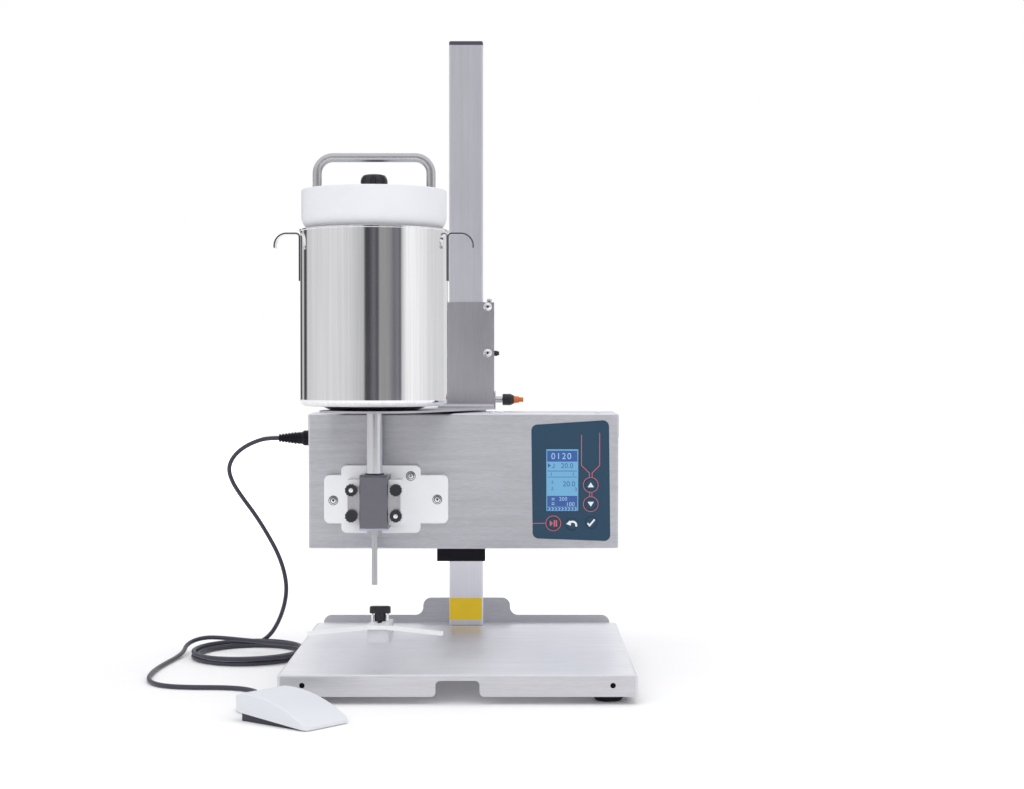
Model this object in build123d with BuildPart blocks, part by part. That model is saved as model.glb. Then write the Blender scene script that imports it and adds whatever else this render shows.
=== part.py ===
"""Cream filling machine: a filling head with a gear pump, a pot and a pusher, sliding on a column that stands
on a folded tray, with a product guide on the tray and a foot pedal on a cable.

Sizes are in millimetres and +Z is up. Places are measured from the middle of the tray's front edge at floor
level: x to the right, y away from the operator, z above the floor.
"""

import os
from math import cos, pi, radians, sin, sqrt, tan

from build123d import *

os.makedirs("parts", exist_ok=True)

# Clearances
slide_gap = 0.3
turn_gap = 0.1
key_gap = 0.3

# Base tray, a folded sheet on four rubber feet
tray_width = 450
tray_depth = 482
tray_top = 38
tray_flange = 28
tray_sheet = 2
tray_fold = 4
notch_width = 55
notch_height = 20
notch_corner = 6
accessory_spread = 388
accessory_hole = 7
upstand_width = 428
upstand_height = 12
tab_width = 130
tab_height = 38
tab_corner = 12
upstand_fold = 1
foot_radius = 21.5
foot_tread_radius = 16
foot_round = (19.5, 4)
foot_inset_x = 35
foot_inset_y = 38
foot_bore = 5
foot_bore_depth = 14
tray_flange_bottom = tray_top - tray_flange
tray_underside = tray_top - tray_sheet
foot_spread = tray_width - 2 * foot_inset_x

# Column, a rectangular tube standing on the tray against its tab
column_width = 50
column_depth = 30
column_wall = 2
column_corner = 3
column_top = 897
cap_thickness = 6
cap_edge = 1.5
cap_plug = 20
column_back = tray_depth - tray_sheet
column_front = column_back - column_depth
column_y = (column_front + column_back) / 2

# Product guide on the tray
guide_x = -119
block_width = 30
block_ahead = 166
block_length = 108
block_height = 17.5
block_corner = 2
block_edge = 0.6
fence_angle = 37
fence_length = 112
fence_wall = 6
fence_height = 5.5
fence_setback = 2
fence_shift = 0.2
tail_length = 66
tail_end_width = 22
fence_travel = 20
clamp_screw = 6
clamp_depth = 14
clamp_setback = 44
hub_radius = 8
hub_height = 11
grip_width = 30
grip_depth = 12
grip_height = 10
grip_round = 2.5
block_front = column_front - block_ahead
clamp_y = block_front + clamp_setback
block_top = tray_top + block_height
fence_bottom = block_top + fence_shift
fence_top = fence_bottom + fence_height

# Head, a folded housing that slides on the column
head_width = 436
head_depth = 145
head_height = 190
head_bottom = 166
head_sheet = 2
head_fold = 3
head_gap = 4
head_back = column_front - head_gap
head_front = head_back - head_depth
head_top = head_bottom + head_height
head_z = head_bottom + head_height / 2
head_inside = head_front + head_sheet

# Slide blocks round the column
lower_block_left = -43
lower_block_right = 28
lower_block_drop = 32
lower_block_height = 66
upper_block_drop = 77
upper_block_height = 70
slide_wall_back = 16
lower_block_bottom = head_bottom - lower_block_drop
slide_back = column_back + slide_wall_back

# Hopper bracket, an upright with side flanges folded to a round shelf
bracket_width = 83
bracket_sheet = 3
bracket_fold = 6
bracket_height = 161
bracket_flange_depth = 32
bracket_corner = 12
bracket_lift = 3
bracket_gap = 2
bracket_lap = 2
shelf_radius = 75
shelf_bottom = head_top + bracket_lift
shelf_top = shelf_bottom + bracket_sheet
bracket_top = head_top + bracket_height
bracket_front = column_front - bracket_gap - bracket_sheet
bracket_inside = bracket_front + bracket_sheet
upper_block_bottom = bracket_top - upper_block_drop
spacer_width = 60
spacer_depth = 24

# Spring plunger in the bracket's right flange
plunger_rise = 11
pin_radius = 2.5
pin_chamfer = 0.5
sleeve_radius = 5
sleeve_length = 10
plate_drop = 1
plate_height = 28
plate_depth = 26
plate_thickness = 2
plate_edge = 3
grip_radius = 8.5
grip_length = 17
grip_edge = 1
grip_taper_length = 5
grip_end_radius = 6
ring_radius = 5.5
ring_taper = 1
ring_length = 8
tip_radius = 3.5
tip_length = 6
plunger_y = column_y
plunger_z = shelf_top + plunger_rise
plate_level = plunger_z - plate_drop

# Pot, its strap handles and its outlet tube
pot_x = -121
pot_ahead = 55
pot_inner = 100
pot_wall = 1
pot_height = 241
pot_corner = 9
well_radius = 59
well_slope_radius = 73
well_depth = 6
rim_bead = 1.5
handle_reach = 137
handle_width = 22
handle_strap = 2
handle_tab = 66
handle_drop = 21
strap_below_rim = 4
strap_fold = 6
strap_lap = 0.5
strap_curl = 18
strap_end = 0.3
tube_radius = 11
tube_bore = 9
tube_insert = 14
pot_y = head_front - pot_ahead
pot_outer = pot_inner + pot_wall
pot_bottom = shelf_top + well_depth
pot_rim = pot_bottom + pot_height
strap_top = pot_rim - strap_below_rim

# Pusher that closes the pot and follows the cream down
pusher_clearance = 0.6
pusher_lift = 54
pusher_side = 36
pusher_nose_radius = 88
pusher_nose_drop = 1
pusher_nose_height = 10
pusher_edge = 2
pusher_shoulder = (3, 8)
seal_height = 5
seal_clearance = 0.1
seal_edge = 2
handle_leg_spread = 156
handle_bar = 12.5
handle_rise = 51.5
handle_corner = 22
handle_socket = 8
vent_hub_radius = 10
vent_hub_height = 5
vent_radius = 18.5
vent_height = 16.5
vent_edge = 4
vent_lobes = 8
vent_lobe_radius = 4
vent_lobe_inset = 1
vent_stem = 5
vent_stem_depth = 12
pusher_top = pot_rim + pusher_lift
pusher_nose_top = pot_rim - pusher_nose_drop

# Gear pump in front of the head, clamped by a flange bar that lies in a slot of its body
pump_x = pot_x
pump_rise = 69.5
pump_reach = 73
pump_width = 38.5
pump_height = 76
pump_cover_thickness = 4.5
pump_cover_slope = 3
pump_edge = 0.8
back_plate_thickness = 8
side_block_width = 75
side_block_height = 62
flange_thickness = 8
flange_width = 71.5
flange_height = 45
flange_corner = 2
gear_module = 1.5
gear_teeth = 10
tooth_shares = (0.31, 0.225, 0.1)
gear_width = 23
gear_mesh_gap = 0.35
gear_tip_gap = 0.25
gear_side_gap = 0.5
shaft_radius = 4
shaft_room = 2
idler_shaft_back = 14
drive_shaft_back = 30
passage_radius = 6
passage_back = 4
outlet_radius = 3.2
knob_spread_x = 60.8
knob_spread_z = 35.5
knob_radius = 8.5
knob_length = 9
knob_scallops = 12
knob_scallop_radius = 1.4
knob_scallop_inset = 0.7
stud_radius = 3
stud_proud = 1.5
nozzle_radius = 4.2
nozzle_length = 75.5
nozzle_straight = 65
nozzle_chamfer = 0.4
nozzle_neck = 4.8
nozzle_collar = 7
nozzle_collar_height = 3
nozzle_nut_radius = 10.25
nozzle_nut_height = 8
pump_z = head_bottom + pump_rise
plate_front = head_front - back_plate_thickness
pump_front = head_front - pump_reach
flange_front = pump_front + pump_cover_thickness
flange_back = flange_front + flange_thickness
pump_bottom = pump_z - pump_height / 2
pump_top = pump_z + pump_height / 2
nozzle_tip = pump_bottom - nozzle_length
nozzle_shoulder = nozzle_tip + nozzle_chamfer + nozzle_straight
gear_pitch_radius = gear_module * gear_teeth / 2
gear_spacing = 2 * gear_pitch_radius + gear_mesh_gap
gear_tip_radius = gear_pitch_radius + gear_module
gear_root_radius = gear_pitch_radius - 1.25 * gear_module
gear_front = flange_back + gear_side_gap
gear_back = gear_front + gear_width
drive_x = pump_x + gear_spacing / 2
idler_x = pump_x - gear_spacing / 2

# White mounting plate behind the pump, measured from its own middle
plate_core = (111, 95)
plate_wings = (173.5, 68)
plate_core_x = -115.5
plate_wings_x = -108.2
plate_lift = 0.8
plate_corner = 8
plate_inner_corner = 4
plate_rim = 1
plate_z = pump_z + plate_lift

# Gearmotor inside the head
gearbox_side = 56
gearbox_length = 42
gearbox_corner = 5
motor_radius = 26
motor_length = 70
motor_edge = 4

# Control panel, display and keys; the corners and the keys have heights above the head's bottom
panel_corners = ((95, 174), (204, 181), (206, 11), (97, 15))
panel_corner = 8.5
panel_thickness = 0.8
display_x = 138.5
display_rise = 96.5
display_width = 45
display_height = 87
display_recess = 0.3
module_margin = 5
module_thickness = 7
key_places = {
    "key_up": (178.5, 90),
    "key_down": (178.5, 63),
    "key_start": (126, 36),
    "key_back": (152, 35),
    "key_confirm": (179, 37),
}
key_radius = 8.2
key_skirt = 1
key_edge = 0.3
key_proud = 0.4
key_travel = 0.5
key_stem = 3
board_width = 112
board_height = 162
board_x = 151
board_rise = 94
board_thickness = 1.6
board_gap = 9
post_inset = 5
post_radius = 3
switch_side = 6
switch_height = 4
display_z = head_bottom + display_rise
board_z = head_bottom + board_rise
board_front = head_inside + board_gap

# Foot-switch socket on the head's left side, and the cable's plug in it
socket_setback = 74
socket_rise = 153
socket_radius = 8
socket_nut_radius = 11
socket_nut = 3
socket_depth = 20
plug_nose_radius = 6
plug_nose_length = 14
plug_body_radius = 11
plug_body_length = 20
boot_radius = 8.5
boot_end_radius = 5.5
boot_length = 26.5
boot_ribs = 6
boot_rib_share = 0.6
boot_groove = 1
boot_collar = 6
plug_shoulder = 4
socket_y = head_front + socket_setback
socket_z = head_bottom + socket_rise
socket_face = -head_width / 2 - socket_nut
plug_end = socket_face - plug_body_length - boot_length

# Mains inlet and rocker switch in the rear cover
inlet_x = -150
inlet_rise = 66
inlet_width = 34
inlet_height = 72
inlet_flange = 2.5
inlet_corner = 2
inlet_body_depth = 24
inlet_socket_rise = 49
recess_width = 24
recess_height = 17
recess_depth = 18
recess_chamfer = 4
contact_width = 2
contact_height = 4
contact_depth = 12
contact_places = ((-7, -2), (0, 3), (7, -2))
rocker_rise = 86
rocker_width = 14
rocker_height = 21
rocker_end_height = 4.5
rocker_waist_height = 3.2
rocker_skirt = 2
rocker_keel = 4
rocker_tilt = 6
rocker_pocket = 13
rocker_pocket_room = 2
pivot_radius = 1.5
pivot_length = 2
pivot_sink = 4
inlet_z = head_bottom + inlet_rise
inlet_socket_z = head_bottom + inlet_socket_rise
inlet_face = head_back + inlet_flange
rocker_z = head_bottom + rocker_rise
rocker_pivot_y = inlet_face - pivot_sink

# Foot pedal, turned on the floor and hinged near its thin front end
pedal_x = -239.2
pedal_y = -75.3
pedal_turn = -39
pedal_length = 119
pedal_width = 74
pedal_wall = 2.5
pedal_hump = 33.5
pedal_hump_u = 12
pedal_mid = (70, 26.5)
pedal_rear_top = 29
pedal_rear_bottom = 14.5
pedal_nose_top = 5
pedal_nose_bottom = 1
pedal_skirt = 10.6
pedal_corner = 8
pedal_edge = 4
pedal_rim = 2
base_inset = 6
base_side_gap = 1.5
base_floor = 2
base_corner = 4
base_lip = 0.4
base_wall_top = 9.6
hinge_setback = 21
hinge_z = 7.2
hinge_radius = 1.5
hinge_boss = 3.5
hinge_boss_length = 7
hinge_skin = 1
lug_radius = 3.2
lug_length = 5
lug_gap = 1
pedal_switch_u = 40
pedal_switch_size = (20, 10, 16)
switch_button_radius = 1.5
switch_button_height = 2
hinge_u = pedal_length - hinge_setback

# Cable from the plug to the pedal
cable_diameter = 6.2
coil_x = -314
coil_y = 397
coil_radius_x = 82
coil_radius_y = 95
coil_pitch = 7.4
coil_layer = 6.8
coil_start = 107
coil_reverse = 560
coil_end = 1045
coil_step = 90
arc_samples = 10
entry_height = 3.4
entry_reach = 8
cable_floor = cable_diameter / 2 + 0.3
drop_route = [
    (-286, 375, 319),
    (-305, 376.5, 313),
    (-322, 379.5, 304),
    (-336, 384, 291),
    (-343.5, 389, 274),
    (-338, 396, 253),
    (-324, 404, 230),
    (-307, 413, 205),
    (-291, 421, 177),
    (-277, 429, 149),
    (-268.5, 437, 122),
    (-265.5, 446, 96),
    (-269, 456, 73),
    (-276, 467, 52),
    (-285, 478.5, 34),
    (-295, 488, 19.5),
    (-307, 495, 9.5),
    (-320, 495, 4.9),
]
lead_route = [
    (-238.4, 356.4, 12.3),
    (-236.7, 368.3, 16.2),
    (-239.8, 379.9, 18.3),
    (-248.4, 390.9, 18.8),
    (-276, 407, 18.6),
    (-322, 429, 19.2),
    (-364, 451, 20),
    (-387, 458, 19.4),
    (-404.5, 452, 15.8),
    (-412.5, 434.5, 11),
    (-411, 406, 6),
    (-414, 366, 3.8),
    (-421, 310, 3.4),
    (-425, 250, 3.4),
    (-422, 190, 3.4),
    (-410, 145, 3.4),
    (-384, 118, 3.4),
    (-347, 110, 3.4),
    (-308, 110, 3.4),
    (-276, 98, 3.4),
    (-256, 68, 3.4),
    (-251, 30, 3.4),
    (-257, -8, 3.4),
    (-268, -32, 3.5),
    (-263, -55, 3.8),
]


def pedal_offset(along, across):
    """Machine x and y of a point on the pedal, from the middle of its rear end."""
    turn = radians(pedal_turn)
    x = pedal_x + along * cos(turn) - across * sin(turn)
    y = pedal_y + along * sin(turn) + across * cos(turn)
    return x, y


# The model's origin is the middle of the machine's outline on the floor
pedal_front = pedal_offset(pedal_length - pedal_corner, pedal_corner - pedal_width / 2)[1] - pedal_corner
pedal_left = pedal_offset(pedal_edge, pedal_edge - pedal_width / 2)[0] - pedal_edge
middle_x = (min(pot_x - handle_reach, pedal_left) + tray_width / 2) / 2
middle_y = (pedal_front + slide_back) / 2


def at(x, y, z):
    """A place on the machine, in the model's own frame."""
    return (x - middle_x, y - middle_y, z)


def level(x, y, z):
    """A plane that faces up."""
    return Plane(origin=at(x, y, z))


def facing(x, y, z):
    """A plane that faces the operator: its x is the machine's x and its y is height."""
    return Plane(origin=at(x, y, z), x_dir=(1, 0, 0), z_dir=(0, -1, 0))


def sideways(x, y, z):
    """A plane that faces right: its x runs away from the operator and its y is height."""
    return Plane(origin=at(x, y, z), x_dir=(0, 1, 0), z_dir=(1, 0, 0))


def upright(x, y):
    """A vertical axis."""
    return Axis(at(x, y, 0), (0, 0, 1))


def nearest(shapes, x, y, z):
    """The edge or face whose middle lies nearest a place on the machine."""
    return shapes.sort_by_distance(at(x, y, z))[0]


# Base tray

with BuildPart() as base_tray:
    with BuildSketch(level(0, tray_depth / 2, tray_flange_bottom)):
        Rectangle(tray_width, tray_depth)
    extrude(amount=tray_flange)
    top_edges = base_tray.edges().group_by(Axis.Z)[-1].sort_by(Axis.Y)[:-1]
    corner_edges = base_tray.edges().filter_by(Axis.Z).sort_by(Axis.Y)[:2]
    fillet(top_edges + corner_edges, radius=tray_fold)
    open_faces = [base_tray.faces().sort_by(Axis.Z)[0], base_tray.faces().sort_by(Axis.Y)[-1]]
    offset(amount=-tray_sheet, openings=open_faces)
    with BuildSketch(facing(0, tray_depth, tray_underside)):
        Rectangle(upstand_width, tray_sheet + upstand_height, align=(Align.CENTER, Align.MIN))
        Rectangle(tab_width, tray_sheet + tab_height, align=(Align.CENTER, Align.MIN))
        corners = vertices().group_by(Axis.Y)
        fillet(corners[1] + corners[2], radius=tab_corner)
    extrude(amount=tray_sheet)
    fillet(nearest(base_tray.edges(), 0, tray_depth - tray_sheet, tray_top), radius=upstand_fold)
    with BuildSketch(facing(0, 0, tray_flange_bottom)):
        Rectangle(notch_width, notch_height, align=(Align.CENTER, Align.MIN))
    extrude(amount=-tray_fold, mode=Mode.SUBTRACT)
    notch_edges = base_tray.edges().filter_by(Axis.Y).filter_by(
        lambda edge: abs(abs(edge.center().X + middle_x) - notch_width / 2) < 1)
    fillet(notch_edges, radius=notch_corner)
    with BuildSketch(facing(0, 0, tray_flange_bottom + tray_flange / 2)):
        with GridLocations(accessory_spread, 0, 2, 1):
            Circle(accessory_hole / 2)
    extrude(amount=-tray_fold, mode=Mode.SUBTRACT)
base_tray.part.label = "base_tray"
export_step(base_tray.part, "parts/base_tray.step")

# Rubber feet, rounded to a smaller tread, with a recess for the screw

for side_name, side in (("left", -1), ("right", 1)):
    for end_name, foot_y in (("front", foot_inset_y), ("rear", tray_depth - foot_inset_y)):
        foot_x = side * foot_spread / 2
        with BuildPart() as foot:
            with BuildSketch(facing(foot_x, foot_y, 0)):
                with BuildLine():
                    Polyline(
                        (foot_bore, 0),
                        (foot_tread_radius, 0),
                        foot_round,
                        (foot_radius, tray_flange_bottom),
                        (foot_radius, tray_underside),
                        (0, tray_underside),
                        (0, foot_bore_depth),
                        (foot_bore, foot_bore_depth),
                        close=True)
                make_face()
            revolve(axis=upright(foot_x, foot_y))
        foot.part.label = f"foot_{end_name}_{side_name}"
        export_step(foot.part, f"parts/foot_{end_name}_{side_name}.step")

# Column and its end cap

with BuildPart() as column:
    with BuildSketch(level(0, column_y, tray_top)):
        RectangleRounded(column_width, column_depth, column_corner)
        RectangleRounded(
            column_width - 2 * column_wall,
            column_depth - 2 * column_wall,
            column_corner / 2,
            mode=Mode.SUBTRACT)
    extrude(amount=column_top - tray_top)
    chamfer(nearest(column.edges(), 0, column_back, tray_top), length=upstand_fold)
column.part.label = "column"
export_step(column.part, "parts/column.step")

with BuildPart() as column_cap:
    with BuildSketch(level(0, column_y, column_top)):
        RectangleRounded(column_width, column_depth, column_corner)
    extrude(amount=cap_thickness)
    chamfer(column_cap.faces().sort_by(Axis.Z)[-1].edges(), length=cap_edge)
    with BuildSketch(level(0, column_y, column_top)):
        RectangleRounded(
            column_width - 2 * column_wall - 2 * turn_gap,
            column_depth - 2 * column_wall - 2 * turn_gap,
            column_corner / 2)
    extrude(amount=-cap_plug)
column_cap.part.label = "column_cap"
export_step(column_cap.part, "parts/column_cap.step")

# Product guide: block, V-shaped fence and clamp knob

with BuildPart() as guide_block:
    with BuildSketch(level(guide_x, block_front, tray_top)):
        Rectangle(block_width, block_length, align=(Align.CENTER, Align.MIN))
    extrude(amount=block_height)
    fillet(guide_block.edges().filter_by(Axis.Z), radius=block_corner)
    chamfer(guide_block.faces().sort_by(Axis.Z)[-1].edges(), length=block_edge)
    with BuildSketch(level(guide_x, clamp_y, block_top)):
        Circle(clamp_screw / 2 + turn_gap)
    extrude(amount=-clamp_depth - slide_gap, mode=Mode.SUBTRACT)
guide_block.part.label = "guide_block"
export_step(guide_block.part, "parts/guide_block.step")

with BuildPart() as guide_fence:
    slope = radians(fence_angle)
    with BuildSketch(level(guide_x, block_front + fence_setback, fence_bottom)):
        for side in (-1, 1):
            with BuildLine():
                wing_x = side * fence_length * cos(slope)
                wing_y = -fence_length * sin(slope)
                Polyline(
                    (0, 0),
                    (wing_x, wing_y),
                    (wing_x + side * fence_wall * sin(slope), wing_y + fence_wall * cos(slope)),
                    (0, fence_wall / cos(slope)),
                    close=True)
            make_face()
        with BuildLine():
            Polyline(
                (-block_width / 2, -block_width / 2 * tan(slope) + fence_wall / 2),
                (block_width / 2, -block_width / 2 * tan(slope) + fence_wall / 2),
                (tail_end_width / 2, tail_length),
                (-tail_end_width / 2, tail_length),
                close=True)
        make_face()
        with Locations((0, clamp_setback - fence_setback)):
            SlotOverall(
                2 * fence_travel + clamp_screw + 4 * slide_gap,
                clamp_screw + 2 * slide_gap,
                rotation=90,
                mode=Mode.SUBTRACT)
    extrude(amount=fence_height)
guide_fence.part.label = "guide_fence"
export_step(guide_fence.part, "parts/guide_fence.step")

with BuildPart() as guide_knob:
    with BuildSketch(level(guide_x, clamp_y, fence_top + slide_gap)):
        Circle(hub_radius)
    extrude(amount=hub_height)
    with BuildSketch(level(guide_x, clamp_y, fence_top + slide_gap + hub_height)):
        SlotOverall(grip_width, grip_depth)
    extrude(amount=grip_height)
    fillet(guide_knob.faces().sort_by(Axis.Z)[-1].edges(), radius=grip_round)
    with BuildSketch(level(guide_x, clamp_y, fence_top + slide_gap)):
        Circle(clamp_screw / 2)
    extrude(amount=-(fence_top + slide_gap - block_top + clamp_depth))
guide_knob.part.label = "guide_knob"
export_step(guide_knob.part, "parts/guide_knob.step")

# Foot pedal: side outlines run along the pedal from its rear end

pedal_direction = (cos(radians(pedal_turn)), sin(radians(pedal_turn)), 0)
pedal_normal = (sin(radians(pedal_turn)), -cos(radians(pedal_turn)), 0)
pedal_floor = Plane(origin=at(pedal_x, pedal_y, 0), x_dir=pedal_direction, z_dir=(0, 0, 1))
pedal_side = Plane(origin=at(pedal_x, pedal_y, 0), x_dir=pedal_direction, z_dir=pedal_normal)
base_half_width = pedal_width / 2 - pedal_wall - base_side_gap
base_end = pedal_length - base_inset
base_nose_top = base_floor + base_lip

with BuildPart() as pedal_base:
    with BuildSketch(pedal_side):
        Polygon(
            (base_inset, 0),
            (base_end, 0),
            (base_end, base_nose_top),
            (base_inset, base_wall_top),
            align=None)
    extrude(amount=base_half_width, both=True)
    fillet(pedal_base.edges().filter_by(Axis.Z), radius=base_corner)
    with BuildSketch(pedal_side):
        Polygon(
            (base_inset + base_floor, base_floor),
            (base_end - base_floor, base_floor),
            (base_end - base_floor, base_wall_top),
            (base_inset + base_floor, base_wall_top),
            align=None)
    extrude(amount=base_half_width - base_floor, both=True, mode=Mode.SUBTRACT)
    for side in (-1, 1):
        lug_inner = side * (pedal_width / 2 - pedal_wall - hinge_boss_length - lug_gap - lug_length)
        with BuildSketch(pedal_side.offset(lug_inner)):
            with Locations((hinge_u, hinge_z)):
                Circle(lug_radius)
            with Locations((hinge_u, (hinge_z + base_floor) / 2)):
                Rectangle(2 * lug_radius, hinge_z - base_floor)
            with Locations((hinge_u, hinge_z)):
                Circle(hinge_radius, mode=Mode.SUBTRACT)
        extrude(amount=side * lug_length)
pedal_base.part.label = "pedal_base"
export_step(pedal_base.part, "parts/pedal_base.step")

with BuildPart() as pedal_tread:
    with BuildSketch(pedal_side):
        with BuildLine():
            tread_arc = ThreePointArc((pedal_hump_u, pedal_hump), pedal_mid, (pedal_length, pedal_nose_top))
            TangentArc((pedal_hump_u, pedal_hump), (0, pedal_rear_top), tangent=-(tread_arc % 0))
            Polyline(
                (0, pedal_rear_top),
                (0, pedal_rear_bottom),
                (base_inset, pedal_skirt),
                (pedal_length, pedal_nose_bottom),
                (pedal_length, pedal_nose_top))
        make_face()
    extrude(amount=pedal_width / 2, both=True)
    fillet(pedal_tread.edges().filter_by(Axis.Z).filter_by(
        lambda edge: (edge.center() - pedal_tread.part.center()).dot(Vector(pedal_direction)) > 0),
        radius=pedal_corner)
    fillet(pedal_tread.edges().filter_by(Axis.Z).filter_by(
        lambda edge: (edge.center() - Vector(at(pedal_x, pedal_y, 0))).dot(Vector(pedal_direction)) < 1),
        radius=pedal_edge)
    top_edges = [
        edge
        for face in pedal_tread.faces().filter_by(lambda face: face.normal_at().Z > 0.5)
        for edge in face.edges()]
    rim = [edge for edge in top_edges if sum(edge.is_same(other) for other in top_edges) == 1]
    fillet(rim, radius=pedal_rim)
    with BuildSketch(pedal_side):
        with BuildLine():
            Line((pedal_wall, 0), (pedal_wall, pedal_rear_top))
            Line((pedal_wall, pedal_rear_top), (pedal_hump_u, pedal_hump - pedal_wall))
            ThreePointArc(
                (pedal_hump_u, pedal_hump - pedal_wall),
                (pedal_mid[0] - 1, pedal_mid[1] - pedal_wall),
                (pedal_length - pedal_wall, pedal_nose_top - pedal_wall))
            Polyline(
                (pedal_length - pedal_wall, pedal_nose_top - pedal_wall),
                (pedal_length - pedal_wall, 0),
                (pedal_wall, 0))
        make_face()
    extrude(amount=pedal_width / 2 - pedal_wall, both=True, mode=Mode.SUBTRACT)
    for side in (-1, 1):
        with BuildSketch(pedal_side.offset(side * (pedal_width / 2 - pedal_wall))):
            with Locations((hinge_u, hinge_z)):
                Circle(hinge_boss)
        extrude(amount=-side * hinge_boss_length)
    with BuildSketch(pedal_side):
        with Locations((hinge_u, hinge_z)):
            Circle(hinge_radius + turn_gap)
    extrude(amount=pedal_width / 2 - hinge_skin, both=True, mode=Mode.SUBTRACT)
pedal_tread.part.label = "pedal_tread"
export_step(pedal_tread.part, "parts/pedal_tread.step")

with BuildPart() as pedal_pin:
    with BuildSketch(pedal_side):
        with Locations((hinge_u, hinge_z)):
            Circle(hinge_radius)
    extrude(amount=pedal_width / 2 - hinge_skin - slide_gap, both=True)
pedal_pin.part.label = "pedal_pin"
export_step(pedal_pin.part, "parts/pedal_pin.step")

with BuildPart() as pedal_switch:
    with BuildSketch(pedal_floor.offset(base_floor)):
        with Locations((pedal_switch_u, 0)):
            Rectangle(pedal_switch_size[0], pedal_switch_size[1])
    extrude(amount=pedal_switch_size[2])
    with BuildSketch(pedal_floor.offset(base_floor + pedal_switch_size[2])):
        with Locations((pedal_switch_u - pedal_switch_size[0] / 4, 0)):
            Circle(switch_button_radius)
    extrude(amount=switch_button_height)
pedal_switch.part.label = "pedal_switch"
export_step(pedal_switch.part, "parts/pedal_switch.step")

# Head housing: front, top, bottom and ends in one folded shell, closed by a rear cover

with BuildPart() as head_shell:
    with BuildSketch(facing(0, head_front, head_z)):
        Rectangle(head_width, head_height)
    extrude(amount=-(head_depth - head_sheet))
    rear_edges = head_shell.faces().sort_by(Axis.Y)[-1].edges()
    fillet([edge for edge in head_shell.edges() if edge not in rear_edges], radius=head_fold)
    offset(amount=-head_sheet, openings=head_shell.faces().sort_by(Axis.Y)[-1])
    with BuildSketch(facing(0, head_front, head_bottom)):
        with Locations((drive_x, pump_rise)):
            Circle(shaft_radius + shaft_room)
        with Locations((pump_x, pump_rise)):
            with GridLocations(knob_spread_x, knob_spread_z, 2, 2):
                Circle(stud_radius + turn_gap)
        with Locations((display_x, display_rise)):
            Rectangle(display_width, display_height)
        with Locations(*key_places.values()):
            Circle(key_radius + key_gap)
    extrude(amount=-head_fold, mode=Mode.SUBTRACT)
    with BuildSketch(sideways(-head_width / 2, socket_y, socket_z)):
        Circle(socket_radius)
    extrude(amount=head_fold, mode=Mode.SUBTRACT)
head_shell.part.label = "head_shell"
export_step(head_shell.part, "parts/head_shell.step")

with BuildPart() as head_rear_cover:
    with BuildSketch(facing(0, head_back, head_z)):
        RectangleRounded(head_width, head_height, head_fold)
        with Locations((inlet_x, inlet_z - head_z)):
            Rectangle(
                inlet_width - 2 * inlet_flange,
                inlet_height - 2 * inlet_flange,
                mode=Mode.SUBTRACT)
    extrude(amount=head_sheet)
head_rear_cover.part.label = "head_rear_cover"
export_step(head_rear_cover.part, "parts/head_rear_cover.step")

with BuildPart() as lower_slide_block:
    with BuildSketch(level(0, 0, lower_block_bottom)):
        with BuildLine():
            Polyline(
                (lower_block_left, head_back),
                (lower_block_right, head_back),
                (lower_block_right, slide_back),
                (lower_block_left, slide_back),
                close=True)
        make_face()
        with Locations((0, column_y)):
            Rectangle(column_width + 2 * slide_gap, column_depth + 2 * slide_gap, mode=Mode.SUBTRACT)
    extrude(amount=lower_block_height)
lower_slide_block.part.label = "lower_slide_block"
export_step(lower_slide_block.part, "parts/lower_slide_block.step")

# Foot-switch socket, plug and mains inlet

with BuildPart() as foot_socket:
    with BuildSketch(sideways(socket_face, socket_y, socket_z)):
        RegularPolygon(socket_nut_radius, 6)
    extrude(amount=socket_nut)
    with BuildSketch(sideways(-head_width / 2, socket_y, socket_z)):
        Circle(socket_radius)
    extrude(amount=socket_depth)
    with BuildSketch(sideways(socket_face, socket_y, socket_z)):
        Circle(plug_nose_radius + turn_gap)
    extrude(amount=plug_nose_length + turn_gap, mode=Mode.SUBTRACT)
foot_socket.part.label = "foot_socket"
export_step(foot_socket.part, "parts/foot_socket.step")

with BuildPart() as cable_plug:
    with BuildSketch(facing(plug_end, socket_y, socket_z)):
        with BuildLine():
            rib_pitch = boot_length / boot_ribs
            outline = [(0, 0)]
            for rib in range(boot_ribs):
                radius = boot_end_radius + (boot_radius - boot_end_radius) * rib / (boot_ribs - 1)
                outline += [
                    (rib * rib_pitch, radius),
                    ((rib + boot_rib_share) * rib_pitch, radius),
                    ((rib + boot_rib_share) * rib_pitch, radius - boot_groove),
                    ((rib + 1) * rib_pitch, radius - boot_groove),
                ]
            outline += [
                (boot_length, boot_radius),
                (boot_length + boot_collar, boot_radius),
                (boot_length + boot_collar + plug_shoulder, plug_body_radius),
                (boot_length + plug_body_length, plug_body_radius),
                (boot_length + plug_body_length, plug_nose_radius),
                (boot_length + plug_body_length + plug_nose_length, plug_nose_radius),
                (boot_length + plug_body_length + plug_nose_length, 0),
            ]
            Polyline(*outline, close=True)
        make_face()
    revolve(axis=Axis(at(plug_end, socket_y, socket_z), (1, 0, 0)))
cable_plug.part.label = "cable_plug"
export_step(cable_plug.part, "parts/cable_plug.step")

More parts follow.
